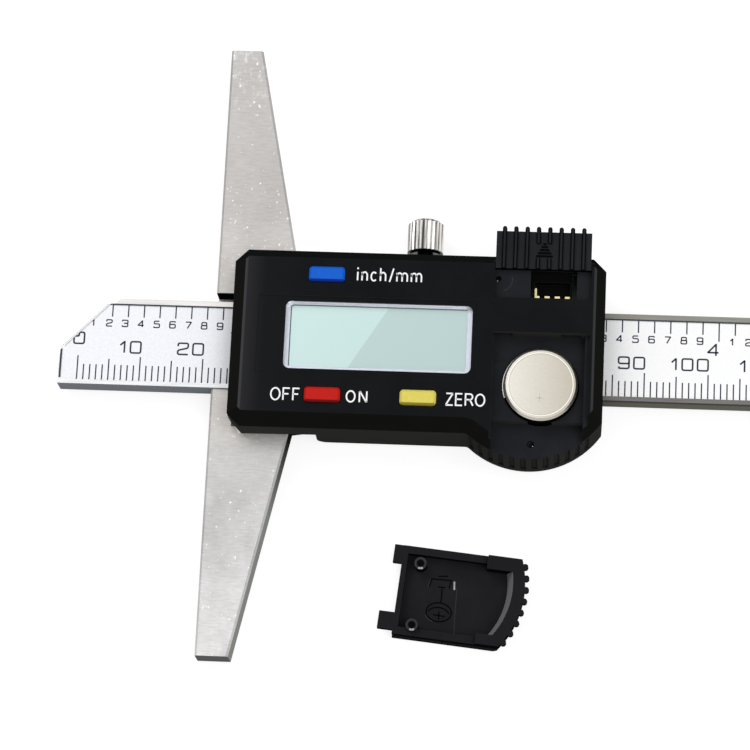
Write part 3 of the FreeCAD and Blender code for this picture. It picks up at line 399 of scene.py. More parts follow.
def build_word(name, place, letters, material):
    """Printed word filling its box on the housing's front."""
    x0, x1, y0, y1 = place
    bm = bmesh.new()
    for letter, start, end in letters:
        left = x0 + (x1 - x0) * start + LETTER_STROKE / 2
        wide = (x1 - x0) * (end - start) - LETTER_STROKE
        low, tall = y0 + LETTER_STROKE / 2, y1 - y0 - LETTER_STROKE
        for closed, points in LETTERS[letter]:
            placed = [Vector((left + u * wide, low + v * tall)) for u, v in points]
            add_stroke(bm, placed, closed, LETTER_STROKE, HOUSING_HIGH.z + INK_RISE)
    return new_piece(name, mesh_from(bm, name), "slider", material)


# ================================================================ small details
# Centre and width of each bar of the arrow, from its point to its base.
ARROW_STEPS = ((16.02, 0.5), (15.54, 1.0), (15.04, 1.5), (14.54, 2.05), (14.03, 2.6))
ARROW_X = 52.2
ARROW_BAR = 0.3
ARROW_Z = (12.5, 12.72)


def build_port_arrow(material):
    """Arrow on the port cover, made of five raised bars that widen towards its base, coloured in painted
    shade.
    """
    bm = bmesh.new()
    for y, wide in ARROW_STEPS:
        add_block(bm, ARROW_X - wide / 2, ARROW_X + wide / 2, y - ARROW_BAR / 2, y + ARROW_BAR / 2,
                  *ARROW_Z)
    return new_piece("port_cover_arrow", mesh_from(bm, "port_cover_arrow"), "port_cover",
                     material)


CELL_RING_R = 4.95
CELL_RING_W = 0.12
CELL_PLUS = (52.17, -8.7)
CELL_PLUS_HALF = 0.6
CELL_PLUS_W = 0.15
RING_STEPS = 72


def build_cell_marks(dark, light):
    """Shallow groove round the cell's face, drawn as a ring of painted shade beside a ring of painted
    highlight, and a raised plus sign on its positive side, drawn in the same painted shade.
    """
    cx, cy = (CELL_LOW.x + CELL_HIGH.x) / 2, (CELL_LOW.y + CELL_HIGH.y) / 2
    z = CELL_HIGH.z + INK_RISE
    inner = oval(cx, cy, CELL_RING_R, CELL_RING_R, steps=RING_STEPS)
    outer_r = CELL_RING_R + CELL_RING_W
    outer = oval(cx, cy, outer_r, outer_r, steps=RING_STEPS)
    stroke_piece("cell_ring_shade", [(True, inner)], CELL_RING_W, z, "cell", dark)
    stroke_piece("cell_ring_light", [(True, outer)], CELL_RING_W, z, "cell", light)
    px, py = CELL_PLUS
    arms = [(False, ((px - CELL_PLUS_HALF, py), (px + CELL_PLUS_HALF, py))),
            (False, ((px, py - CELL_PLUS_HALF), (px, py + CELL_PLUS_HALF)))]
    stroke_piece("cell_plus", arms, CELL_PLUS_W, z, "cell", dark)


# Floors of the port recess and of the battery bay, with the marks of the ejector pins.
PORT_FLOOR_Z = 11.6
PORT_ARC = (45.5, 10.3)
PORT_ARC_R = 1.8
PORT_ARC_W = 0.12
PORT_PIT = (45.15, 10.45)
PORT_PIT_R = 0.22
PORT_GLINT = (44.97, 10.08)
BAY_FLOOR_Z = 8.6
BAY_PIT = (51.0, -15.45)
BAY_PIT_R = 0.5
BAY_PIT_W = 0.14
BAY_GLINT = (51.33, -15.75)
GLINT_R = 0.04


def housing_ring(name, centre, radius, width, z, material):
    """Flat ring on the housing; a width of twice the radius makes a disc."""
    return stroke_piece(name, [(True, oval(*centre, radius, radius))], width, z,
                        "slider", material)


def build_pit_marks(shade, glint, faint_highlight):
    """Marks of the ejector pins in the floors of the port recess and the battery bay: pits of painted
    shade with painted glints, and near the port's pit the rim of a moulded ring drawn as a faint painted
    highlight.
    """
    port_z = PORT_FLOOR_Z + INK_RISE
    bay_z = BAY_FLOOR_Z + INK_RISE
    arc = oval(*PORT_ARC, PORT_ARC_R, PORT_ARC_R, -75, 15)
    stroke_piece("port_floor_arc", [(False, arc)], PORT_ARC_W, port_z, "slider", faint_highlight)
    housing_ring("port_floor_pit", PORT_PIT, PORT_PIT_R, 2 * PORT_PIT_R, port_z, shade)
    housing_ring("port_floor_glint", PORT_GLINT, GLINT_R, 2 * GLINT_R, port_z + INK_RISE, glint)
    housing_ring("bay_floor_pit", BAY_PIT, BAY_PIT_R, BAY_PIT_W, bay_z, shade)
    housing_ring("bay_floor_glint", BAY_GLINT, GLINT_R, 2 * GLINT_R, bay_z + INK_RISE, glint)


# Visible rectangle of the display: how far it lies inside the frame's outline, and over its edge.
LCD_LINE_IN = (1.4, 1.3)
LCD_LINE_W = 0.18
LCD_SHEET_OVER = 0.3
LCD_CORNER_R = 0.5


def lcd_opening():
    """Visible rectangle of the display, which laps over the frame's upper edge."""
    return (BEZEL_LOW.x + LCD_LINE_IN[0], BEZEL_HIGH.x - LCD_LINE_IN[0],
            BEZEL_LOW.y + LCD_LINE_IN[1], BEZEL_HIGH.y - LCD_LINE_IN[1] + LCD_SHEET_OVER)


def build_lcd_sheet(material):
    """Polarising sheet that covers the display."""
    x0, x1, y0, y1 = lcd_opening()
    corners = ((x0, y0), (x1, y0), (x1, y1), (x0, y1))
    outline = rounded_path(corners, True, LCD_CORNER_R)
    bm = bmesh.new()
    add_quad(bm, [(point.x, point.y) for point in outline], BEZEL_HIGH.z + INK_RISE / 2)
    return new_piece("lcd_sheet", mesh_from(bm, "lcd_sheet"), "slider", material)


def build_lcd_line(material):
    """Painted shadow of the silver frame along the gap between the sheet and the frame, on the left and
    along the top.
    """
    x0, x1, y0, y1 = lcd_opening()
    path = rounded_path(((x0, y0), (x0, y1), (x1, y1)), False, LCD_CORNER_R)
    return stroke_piece("lcd_frame_line", [(False, path)], LCD_LINE_W, BEZEL_HIGH.z + INK_RISE,
                        "slider", material)


# Painted highlight on the foot beside the housing's lower left corner, as points along it.
FOOT_GLINT = ((2.72, -11.2), (3.3, -11.85), (3.95, -12.65), (4.55, -13.6), (5.0, -14.3))
FOOT_GLINT_W = 0.3


def build_foot_glint(material):
    """Bright line of painted highlight on the foot along the housing's lower corner."""
    z = high_mm("base_foot").z + INK_RISE
    return stroke_piece("foot_corner_highlight", [(False, FOOT_GLINT)], FOOT_GLINT_W, z,
                        "slider", material)


# Battery cover: its place and turn on the table, and places in its own axes.
COVER_PLACE = (31.01, -37.92)
COVER_TURN_DEG = -5.6
COVER_FLOOR_Z = 1.0
COVER_POST_Z = 3.4
COVER_POSTS = ((3.0, 4.38), (3.0, -5.44))
COVER_LINE_W = 0.22
COVER_EDGE_W = 0.1
COVER_GLINT_W = 0.25
POST_RIM_R = 0.8
POST_RIM_W = 0.28
POST_PIT_R = 0.28
POST_PIT_W = 0.5
POST_GLINT_W = 0.3


def on_cover(points):
    """Points of the cover's own axes, placed in the part's frame."""
    turn = math.radians(COVER_TURN_DEG)
    x0, y0 = COVER_PLACE
    cosine, sine = math.cos(turn), math.sin(turn)
    return tuple((x0 + x * cosine - y * sine, y0 + x * sine + y * cosine) for x, y in points)


def build_cover_marks(shade, glint, faint_highlight):
    """Moulded-in drawing of the cell's place and polarity in painted shade, with painted highlights
    along some edges and a painted glint, and on the two posts rings of painted highlight round pits of
    painted shade, each with a painted glint.
    """
    z = COVER_FLOOR_Z + INK_RISE
    drawing = [(True, on_cover(oval(6.75, -2.5, 2.0, 1.5))),
               (False, on_cover(oval(6.7, -3.0, 1.75, 1.25, 20, 160, 10))),
               (False, on_cover(((5.9, -3.0), (7.8, -3.05)))),
               (False, on_cover(((6.78, -2.4), (6.9, -3.7)))),
               (False, on_cover(((6.75, 1.3), (6.9, -0.9)))),
               (False, on_cover(((4.7, 1.3), (4.97, 2.62), (8.0, 2.75), (7.85, 1.4)))),
               (False, on_cover(((5.9, 3.15), (7.4, 3.35)))),
               (False, on_cover(((6.1, 1.45), (7.3, 1.5))))]
    stroke_piece("cover_drawing", drawing, COVER_LINE_W, z, "bay_cover", shade)
    edges = [(False, on_cover(oval(6.75, -2.5, 2.2, 1.7, 200, 250, 6))),
             (False, on_cover(((9.05, 1.6), (9.35, -3.3), (9.62, -5.75)))),
             (False, on_cover(((4.5, 1.2), (4.75, 2.5))))]
    stroke_piece("cover_drawing_highlights", edges, COVER_EDGE_W, z, "bay_cover", faint_highlight)
    stroke_piece("cover_glint", [(False, on_cover(((8.52, 2.65), (8.68, 1.35))))], COVER_GLINT_W, z,
                 "bay_cover", glint)
    top = COVER_POST_Z + INK_RISE
    rims = [(True, on_cover(oval(x, y, POST_RIM_R, POST_RIM_R))) for x, y in COVER_POSTS]
    pits = [(True, on_cover(oval(x, y, POST_PIT_R, POST_PIT_R))) for x, y in COVER_POSTS]
    spots = [(False, on_cover(oval(x, y, POST_RIM_R, POST_RIM_R, -110, -55, 6)))
             for x, y in COVER_POSTS]
    stroke_piece("cover_post_rim_highlights", rims, POST_RIM_W, top, "bay_cover", faint_highlight)
    stroke_piece("cover_post_pit_shade", pits, POST_PIT_W, top, "bay_cover", shade)
    stroke_piece("cover_post_glints", spots, POST_GLINT_W, top + INK_RISE,
                 "bay_cover", glint)


# ================================================================ materials
def new_material(name):
    material = bpy.data.materials.new(name)
    material.use_nodes = True
    tree = material.node_tree
    return material, tree, tree.nodes["Principled BSDF"]


def link(tree, source, target):
    tree.links.new(source, target)


def object_noise(tree, scale, detail=4.0, roughness=0.55):
    """Noise value in the piece's own coordinates; scale gives the features per metre on each axis."""
    place = tree.nodes.new("ShaderNodeTexCoord")
    mapping = tree.nodes.new("ShaderNodeMapping")
    mapping.inputs["Scale"].default_value = scale
    noise = tree.nodes.new("ShaderNodeTexNoise")
    noise.inputs["Scale"].default_value = 1.0
    noise.inputs["Detail"].default_value = detail
    noise.inputs["Roughness"].default_value = roughness
    link(tree, place.outputs["Object"], mapping.inputs["Vector"])
    link(tree, mapping.outputs["Vector"], noise.inputs["Vector"])
    return noise.outputs["Fac"]


def remap(tree, value, from_low, from_high, to_low=0.0, to_high=1.0):
    node = tree.nodes.new("ShaderNodeMapRange")
    node.inputs["From Min"].default_value = from_low
    node.inputs["From Max"].default_value = from_high
    node.inputs["To Min"].default_value = to_low
    node.inputs["To Max"].default_value = to_high
    link(tree, value, node.inputs["Value"])
    return node.outputs["Result"]


def mix(tree, factor, first, second):
    """Colour between first and second, each a colour or a socket."""
    node = tree.nodes.new("ShaderNodeMix")
    node.data_type = "RGBA"
    link(tree, factor, node.inputs["Factor"])
    for socket, value in (("A", first), ("B", second)):
        target = [s for s in node.inputs if s.name == socket and s.type == "RGBA"][0]
        if isinstance(value, tuple):
            target.default_value = value
        else:
            link(tree, value, target)
    return [s for s in node.outputs if s.type == "RGBA"][0]


def tinted(tree, colour, factor):
    """A colour socket times a plain factor."""
    node = tree.nodes.new("ShaderNodeVectorMath")
    node.operation = "SCALE"
    link(tree, colour, node.inputs[0])
    node.inputs["Scale"].default_value = factor
    return node.outputs["Vector"]


def math_node(tree, operation, first, second=0.0):
    node = tree.nodes.new("ShaderNodeMath")
    node.operation = operation
    for socket, value in zip(node.inputs, (first, second)):
        if isinstance(value, (int, float)):
            socket.default_value = value
        else:
            link(tree, value, socket)
    return node.outputs["Value"]


def position_axis(tree, axis):
    place = tree.nodes.new("ShaderNodeTexCoord")
    split = tree.nodes.new("ShaderNodeSeparateXYZ")
    link(tree, place.outputs["Object"], split.inputs["Vector"])
    return split.outputs[axis]


def normal_axis(tree, axis):
    geometry = tree.nodes.new("ShaderNodeNewGeometry")
    split = tree.nodes.new("ShaderNodeSeparateXYZ")
    link(tree, geometry.outputs["True Normal"], split.inputs["Vector"])
    return split.outputs[axis]


def ramp_mm(tree, axis, start, end):
    """0 up to start and 1 from end on, both in millimetres along one of the part's axes."""
    return remap(tree, position_axis(tree, axis), start * MM, end * MM)


def facing(tree, axis, start, end):
    """0 up to one value of the surface normal along an axis and 1 from the other on."""
    return remap(tree, normal_axis(tree, axis), start, end)


def top_side(tree):
    """1 on faces that look up and 0 on upright ones."""
    return facing(tree, "Z", 0.3, 0.6)


def bevel_normal(tree, radius_mm, samples):
    bevel = tree.nodes.new("ShaderNodeBevel")
    bevel.samples = samples
    bevel.inputs["Radius"].default_value = radius_mm * MM
    return bevel.outputs["Normal"]


def edge_mask(tree, radius_mm, low, high):
    """1 along the piece's edges and 0 on its faces."""
    geometry = tree.nodes.new("ShaderNodeNewGeometry")
    dot = tree.nodes.new("ShaderNodeVectorMath")
    dot.operation = "DOT_PRODUCT"
    link(tree, bevel_normal(tree, radius_mm, 6), dot.inputs[0])
    link(tree, geometry.outputs["True Normal"], dot.inputs[1])
    return remap(tree, dot.outputs["Value"], high, low)


def soft_edges(tree, shader, radius_mm, height=None, strength=0.0, distance=0.0):
    """Rounds the shading at edges, and adds a bump from a height value."""
    normal = bevel_normal(tree, radius_mm, 4)
    if height is None:
        link(tree, normal, shader.inputs["Normal"])
        return
    bump = tree.nodes.new("ShaderNodeBump")
    bump.inputs["Strength"].default_value = strength
    bump.inputs["Distance"].default_value = distance * MM
    link(tree, height, bump.inputs["Height"])
    link(tree, normal, bump.inputs["Normal"])
    link(tree, bump.outputs["Normal"], shader.inputs["Normal"])


def steel_finish(tree, shader, face, side, lines, roughness, metal=1.0, shine=0.0):
    """Shared end of the steels: fine grinding lines on the face, and sides in a plain tone of their own,
    which is painted light and shade.

    The face is metallic by the share metal, and what shine picks out is fully metallic.
    """
    grain = remap(tree, lines, 0.35, 0.65)
    tone = mix(tree, grain, tinted(tree, face, 0.92), tinted(tree, face, 1.06))
    upward = top_side(tree)
    link(tree, mix(tree, upward, side, tone), shader.inputs["Base Color"])
    uneven = remap(tree, lines, 0.3, 0.7, roughness * 0.85, roughness * 1.15)
    link(tree, uneven, shader.inputs["Roughness"])
    mirror = math_node(tree, "MAXIMUM", math_node(tree, "MULTIPLY", upward, metal), shine)
    link(tree, mirror, shader.inputs["Metallic"])
    shader.inputs["Specular IOR Level"].default_value = 0.0
    soft_edges(tree, shader, 0.01, lines, 0.12, 0.01)


def beyond_bevel(tree, inset):
    """1 outside a line that lies inset inside the beam's bevelled edge."""
    reach = BEVEL_START.dot(BEVEL_OUTWARD) - inset
    x = math_node(tree, "MULTIPLY", position_axis(tree, "X"), BEVEL_OUTWARD.x)
    y = math_node(tree, "MULTIPLY", position_axis(tree, "Y"), BEVEL_OUTWARD.y)
    return math_node(tree, "GREATER_THAN", math_node(tree, "ADD", x, y), reach * MM)


# Tones of the foot's face and the stretches along the foot over which they change; these tones are
# painted reflections.
FOOT_NEAR = srgb(195, 192, 188)
FOOT_UPPER = srgb(174, 171, 169)
FOOT_LOWER = srgb(193, 192, 192)
FOOT_END = srgb(212, 210, 210)
FOOT_END_FADE = (-46, -28)
FOOT_NEAR_FADE = (-20, -14)
FOOT_UPPER_FADE = (13, 22)
FOOT_WORN_FADE = (38, 48)
FOOT_SHADE_FADE = (-14.5, -27)
FOOT_NOTCH_FADE = (0, 1)
FOOT_TIP_FADE = (-48, -49)


def foot_tone(tree):
    """Ground face with clouds and specks; its tone along the foot is painted reflection, brighter by the
    housing and at its lower end and darker on the upper arm, and white scuffs of wear lie at its upper
    end.
    """
    clouds = object_noise(tree, (160.0, 110.0, 110.0), 4.0)
    tone = mix(tree, ramp_mm(tree, "Y", *FOOT_END_FADE), FOOT_END, FOOT_LOWER)
    tone = mix(tree, ramp_mm(tree, "Y", *FOOT_NEAR_FADE), tone, FOOT_NEAR)
    tone = mix(tree, ramp_mm(tree, "Y", *FOOT_UPPER_FADE), tone, FOOT_UPPER)
    tone = mix(tree, remap(tree, clouds, 0.4, 0.75, 0.0, 0.6), tone, scaled(FOOT_UPPER, 0.84))
    dots = remap(tree, object_noise(tree, (1900.0, 1500.0, 1500.0), 1.0), 0.7, 0.8, 0.0, 0.6)
    tone = mix(tree, dots, tone, WHITE)
    scuffs = remap(tree, object_noise(tree, (1100.0, 600.0, 600.0), 4.0), 0.52, 0.72, 0.0, 0.4)
    worn = math_node(tree, "MULTIPLY", scuffs, ramp_mm(tree, "Y", *FOOT_WORN_FADE))
    return mix(tree, worn, tone, WHITE)


def foot_side(tree):
    """Sides in painted light and shade: white where they face +Y, darker elsewhere and nearly black in
    the notch.
    """
    lower = mix(tree, ramp_mm(tree, "Y", *FOOT_SHADE_FADE), srgb(34, 34, 28), srgb(174, 176, 170))
    side = mix(tree, facing(tree, "Y", -0.1, 0.1), lower, WHITE)
    downward = facing(tree, "Y", -0.5, -0.9)
    notch = math_node(tree, "MULTIPLY", downward, ramp_mm(tree, "Y", *FOOT_NOTCH_FADE))
    side = mix(tree, notch, side, srgb(14, 18, 17))
    tip = math_node(tree, "MULTIPLY", downward, ramp_mm(tree, "Y", *FOOT_TIP_FADE))
    return mix(tree, tip, side, srgb(124, 124, 124))


def foot_steel(name):
    material, tree, shader = new_material(name)
    lines = object_noise(tree, (600.0, 3600.0, 3600.0), 4.0)
    # Faces turned to +Y are fully metallic; with their white side tone they make a painted highlight.
    shine = facing(tree, "Y", -0.02, 0.05)
    steel_finish(tree, shader, foot_tone(tree), foot_side(tree), lines, 0.42, 0.5, shine)
    return material


BEAM_FADE = (10, 60)
BEAM_MIDDLE_FADE = (-1, 1)
BEAM_BAND = (1.3, 1.0)
BEAM_BARE_INSET = 1.0


def beam_steel(name):
    """Ground beam in painted light: rims and sides are brighter near the tip than beyond the housing,
    the face's upper and lower halves take different tones, and a band of painted shade runs along the
    top of its far sides.
    """
    material, tree, shader = new_material(name)
    along = ramp_mm(tree, "X", *BEAM_FADE)
    lines = object_noise(tree, (150.0, 4200.0, 4200.0), 3.0)
    upper = mix(tree, along, srgb(208, 206, 204), srgb(136, 135, 129))
    lower = mix(tree, along, srgb(215, 216, 217), srgb(112, 110, 108))
    face = mix(tree, ramp_mm(tree, "Y", *BEAM_MIDDLE_FADE), lower, upper)
    face = mix(tree, beyond_bevel(tree, BEAM_BARE_INSET), face, srgb(253, 253, 252))
    band = ramp_mm(tree, "Z", RIM_Z - BEAM_BAND[0], RIM_Z - BEAM_BAND[1])
    far = mix(tree, band, srgb(134, 133, 122), srgb(102, 98, 96))
    side = mix(tree, along, srgb(150, 154, 161), far)
    steel_finish(tree, shader, face, side, lines, 0.36, 0.5)
    return material


def plain_steel(name, face, side):
    material, tree, shader = new_material(name)
    lines = object_noise(tree, (160.0, 3000.0, 3000.0), 3.0)
    tone = mix(tree, remap(tree, lines, 0.3, 0.7), scaled(face, 0.9), face)
    steel_finish(tree, shader, tone, side, lines, 0.4)
    return material


def polished_metal(name, colour, roughness, grain_per_metre=500.0):
    material, tree, shader = new_material(name)
    grain = object_noise(tree, (grain_per_metre,) * 3, 3.0)
    tone = mix(tree, remap(tree, grain, 0.3, 0.7), scaled(colour, 0.9), colour)
    link(tree, tone, shader.inputs["Base Color"])
    shader.inputs["Roughness"].default_value = roughness
    shader.inputs["Metallic"].default_value = 1.0
    soft_edges(tree, shader, 0.05)
    return material


def cell_metal(name):
    """Satin nickel of the cell with painted light and shade: brighter on its left, with a dark side."""
    material, tree, shader = new_material(name)
    grain = object_noise(tree, (5200.0,) * 3, 3.0)
    across = ramp_mm(tree, "X", CELL_LOW.x, CELL_HIGH.x)
    tone = mix(tree, across, srgb(209, 205, 196), srgb(171, 165, 153))
    tone = mix(tree, remap(tree, grain, 0.35, 0.65, 0.0, 0.5), tone, tinted(tree, tone, 0.84))
    upward = top_side(tree)
    link(tree, mix(tree, upward, srgb(12, 12, 11), tone), shader.inputs["Base Color"])
    shader.inputs["Roughness"].default_value = 0.36
    shader.inputs["Metallic"].default_value = 1.0
    soft_edges(tree, shader, 0.05)
    return material


# Lock screw: its axis in X and Z, the knurl from valley to crest, and the end of its foot, painted dark
# as shadow.
LOCK_AXIS = (33.0, 3.4)
LOCK_KNURL_R = (2.7, 2.86)
LOCK_BASE_FADE = (16.72, 16.84)


def knurled_nickel(name, colour):
    """Bright knurl with darker streaks of painted reflection, valleys in painted shade, and a foot in
    painted shadow.
    """
    material, tree, shader = new_material(name)
    across = math_node(tree, "SUBTRACT", position_axis(tree, "X"), LOCK_AXIS[0] * MM)
    up = math_node(tree, "SUBTRACT", position_axis(tree, "Z"), LOCK_AXIS[1] * MM)
    squares = math_node(tree, "ADD", math_node(tree, "MULTIPLY", across, across),
                        math_node(tree, "MULTIPLY", up, up))
    radius = math_node(tree, "SQRT", squares)
    crest = remap(tree, radius, LOCK_KNURL_R[0] * MM, LOCK_KNURL_R[1] * MM)
    streaks = object_noise(tree, (2100.0, 90.0, 1500.0), 3.0)
    valley = mix(tree, remap(tree, streaks, 0.42, 0.62), srgb(54, 54, 51), srgb(200, 197, 193))
    ridge = mix(tree, remap(tree, streaks, 0.34, 0.52), srgb(160, 156, 151), colour)
    tone = mix(tree, crest, valley, ridge)
    tone = mix(tree, ramp_mm(tree, "Y", *LOCK_BASE_FADE), srgb(14, 16, 15), tone)
    link(tree, tone, shader.inputs["Base Color"])
    shader.inputs["Roughness"].default_value = 0.24
    shader.inputs["Metallic"].default_value = 1.0
    soft_edges(tree, shader, 0.04)
    return material


def plastic_finish(tree, shader, tone, edge, edge_share):
    """Shared end of the black plastics: lighter edges of painted highlight and a fine moulding grain."""
    grain = object_noise(tree, (9000.0,) * 3, 2.0)
    # Painted highlight along the edges.
    edge_highlight = remap(tree, edge_mask(tree, 0.12, 0.80, 0.98), 0.0, 1.0, 0.0, edge_share)
    link(tree, mix(tree, edge_highlight, tone, edge), shader.inputs["Base Color"])
    shader.inputs["Roughness"].default_value = 0.6
    shader.inputs["Specular IOR Level"].default_value = 0.0
    soft_edges(tree, shader, 0.15, grain, 0.15, 0.01)


def by_slope(tree, face, slope, wall):
    """Face tone where the surface looks up, slope tone on bevels and wall tone on upright walls; the
    slope and wall tones are painted light and shade.
    """
    tone = mix(tree, facing(tree, "Z", 0.88, 0.96), slope, face)
    return mix(tree, facing(tree, "Z", 0.1, 0.2), wall, tone)


def dusty(tree, colour):
    dust = object_noise(tree, (180.0,) * 3, 5.0, 0.65)
    return mix(tree, remap(tree, dust, 0.35, 0.75), colour, scaled(colour, 1.3))


def moulded_plastic(name, face, slope, wall, edge, edge_share):
    material, tree, shader = new_material(name)
    plastic_finish(tree, shader, by_slope(tree, dusty(tree, face), slope, wall), edge, edge_share)
    return material


# Stretches over which the housing's face gets paler, all painted light: a painted sheen and highlight
# towards its left edge, a painted highlight at its right edge, and paler tones down into its recesses.
LEFT_GLOW_FADE = (16, 8)
LEFT_SHEEN_FADE = (8.5, 5.8)
LEFT_EDGE_FADE = (5.7, 5.5)
RIGHT_EDGE_FADE = (60.05, 60.2)
RECESS_FADE = (0.2, 0.6)


def housing_face(tree):
    """Black face with a painted sheen and highlight at its left edge, a painted highlight at its right
    edge, and painted light that makes its recesses paler.
    """
    face = dusty(tree, srgb(23, 24, 26))
    face = mix(tree, ramp_mm(tree, "X", *LEFT_GLOW_FADE), face, srgb(28, 29, 30))
    face = mix(tree, ramp_mm(tree, "X", *LEFT_SHEEN_FADE), face, srgb(42, 42, 44))
    face = mix(tree, ramp_mm(tree, "X", *LEFT_EDGE_FADE), face, srgb(62, 62, 65))
    face = mix(tree, ramp_mm(tree, "X", *RIGHT_EDGE_FADE), face, srgb(54, 56, 56))
    sunk = ramp_mm(tree, "Z", HOUSING_HIGH.z - RECESS_FADE[0], HOUSING_HIGH.z - RECESS_FADE[1])
    return mix(tree, sunk, face, dusty(tree, srgb(34, 35, 38)))


def by_direction(tree, below, level, above):
    """One tone where the surface faces -Y, one where it faces +Y and one between them: painted light and
    shade by the way the surface faces.
    """
    tone = mix(tree, facing(tree, "Y", -0.2, -0.5), level, below)
    return mix(tree, facing(tree, "Y", 0.2, 0.5), tone, above)


def housing_plastic(name):
    material, tree, shader = new_material(name)
    # Bevels and walls: painted light and shade by the way they face.
    slope = by_direction(tree, srgb(22, 23, 21), srgb(25, 26, 24), srgb(20, 22, 21))
    wall = by_direction(tree, srgb(58, 59, 56), srgb(36, 37, 35), srgb(26, 28, 28))
    tone = by_slope(tree, housing_face(tree), slope, wall)
    plastic_finish(tree, shader, tone, srgb(60, 61, 62), 0.25)
    return material


def button_plastic(name, colour, lower):
    """Glossy key: full colour on top, and a deeper colour on the edge turned to the user as painted
    shade.
    """
    material, tree, shader = new_material(name)
    grain = object_noise(tree, (1500.0,) * 3, 2.0)
    tone = mix(tree, remap(tree, grain, 0.3, 0.7), scaled(colour, 0.92), colour)
    tone = mix(tree, facing(tree, "Y", -0.2, -0.6), tone, lower)
    link(tree, tone, shader.inputs["Base Color"])
    shader.inputs["Roughness"].default_value = 0.4
    shader.inputs["Specular IOR Level"].default_value = 0.12
    soft_edges(tree, shader, 0.35)
    return material


LABEL_FADE = (0, 60)


def label_film(name):
    """Silvered scale label with a faint fibrous mottle and a bare margin along the bevel."""
    material, tree, shader = new_material(name)
    mottle = object_noise(tree, (2600.0,) * 3, 5.0, 0.7)
    fibres = remap(tree, mottle, 0.35, 0.65)
    near = mix(tree, fibres, srgb(239, 240, 245), srgb(248, 249, 253))
    far = mix(tree, fibres, srgb(247, 247, 248), srgb(252, 252, 253))
    tone = mix(tree, ramp_mm(tree, "X", *LABEL_FADE), near, far)
    tone = mix(tree, beyond_bevel(tree, PRINT_INSET), tone, WHITE)
    link(tree, tone, shader.inputs["Base Color"])
    shader.inputs["Roughness"].default_value = 0.55
    shader.inputs["Specular IOR Level"].default_value = 0.15
    return material


# Flat matte material, used both for print and for painted light and shade of small marks.
def printed_ink(name, colour):
    material, tree, shader = new_material(name)
    wear = object_noise(tree, (2500.0,) * 3, 3.0)
    tone = mix(tree, remap(tree, wear, 0.35, 0.7), colour, scaled(colour, 1.4))
    link(tree, tone, shader.inputs["Base Color"])
    shader.inputs["Roughness"].default_value = 0.6
    shader.inputs["Specular IOR Level"].default_value = 0.0
    return material


# Slanting edge of a painted reflection on the display, at its upper and lower end.
REFLECTION_EDGE_TOP = (27.91, 4.96)
REFLECTION_EDGE_LOW = (22.21, -4.36)


def lcd_glass(name):
    """Blank reflective display, paler left and darker right of a slanting edge: a painted reflection."""
    material, tree, shader = new_material(name)
    x = position_axis(tree, "X")
    y = position_axis(tree, "Y")
    lean = (REFLECTION_EDGE_TOP[0] - REFLECTION_EDGE_LOW[0]) / (REFLECTION_EDGE_TOP[1] - REFLECTION_EDGE_LOW[1])
    edge = math_node(tree, "ADD", math_node(tree, "MULTIPLY", y, lean),
                     (REFLECTION_EDGE_LOW[0] - REFLECTION_EDGE_LOW[1] * lean) * MM)
    beyond = math_node(tree, "GREATER_THAN", math_node(tree, "SUBTRACT", x, edge), 0.0)
    cloud = remap(tree, object_noise(tree, (60.0,) * 3, 2.0), 0.3, 0.7)
    # The two tones either side of the slanting edge are a painted reflection.
    clear = mix(tree, cloud, srgb(179, 202, 200), srgb(181, 204, 202))
    film = mix(tree, cloud, srgb(167, 187, 185), srgb(169, 189, 187))
    link(tree, mix(tree, beyond, clear, film), shader.inputs["Base Color"])
    shader.inputs["Roughness"].default_value = 0.35
    shader.inputs["Metallic"].default_value = 0.7
    return material


def clear_window(name):
    """Thin acrylic window: see-through, with a weak surface gloss."""
    material = bpy.data.materials.new(name)
    material.use_nodes = True
    tree = material.node_tree
    tree.nodes.clear()
    output = tree.nodes.new("ShaderNodeOutputMaterial")
    clear = tree.nodes.new("ShaderNodeBsdfTransparent")
    gloss = tree.nodes.new("ShaderNodeBsdfGlossy")
    gloss.inputs["Roughness"].default_value = 0.04
    blend = tree.nodes.new("ShaderNodeMixShader")
    fresnel = tree.nodes.new("ShaderNodeFresnel")
    fresnel.inputs["IOR"].default_value = 1.2
    link(tree, fresnel.outputs["Fac"], blend.inputs["Fac"])
    link(tree, clear.outputs["BSDF"], blend.inputs[1])
    link(tree, gloss.outputs["BSDF"], blend.inputs[2])
    link(tree, blend.outputs["Shader"], output.inputs["Surface"])
    return material


def circuit_board(name):
    material, tree, shader = new_material(name)
    weave = object_noise(tree, (2500.0, 300.0, 300.0), 3.0)
    tone = mix(tree, remap(tree, weave, 0.4, 0.6), srgb(10, 52, 30), srgb(24, 84, 48))
    link(tree, tone, shader.inputs["Base Color"])
    shader.inputs["Roughness"].default_value = 0.35
    return material


def paint(material, *names):
    for name in names:
        for place in NODES[name].material_slots:
            place.material = material


def dress_metal():
    paint(foot_steel("foot_ground_steel"), "base_foot")
    paint(beam_steel("beam_ground_steel"), "beam_bar")
    # The frame's darker side tone is painted shade.
    paint(plain_steel("frame_steel", srgb(176, 175, 173), srgb(120, 120, 118)), "slider_frame")
    paint(knurled_nickel("lock_nickel", srgb(238, 235, 232)), "lock_screw")
    paint(polished_metal("screw_nickel", srgb(206, 203, 200), 0.2),
          "beam_stop_screws", "base_screws", "gib_set_screws", "housing_screws")
    paint(cell_metal("cell_nickel"), "battery_cell")
    paint(polished_metal("contact_nickel", srgb(215, 212, 205), 0.25),
          "battery_contact_negative", "battery_contact_positive", "button_snap_domes")
    paint(polished_metal("contact_gold", srgb(236, 222, 168), 0.25), "data_port_pins")
    paint(polished_metal("gib_brass", srgb(196, 160, 96), 0.35), "gib_strip", "lock_pad")
    paint(polished_metal("bezel_silver", srgb(190, 194, 204), 0.4, 3000.0), "lcd_bezel")


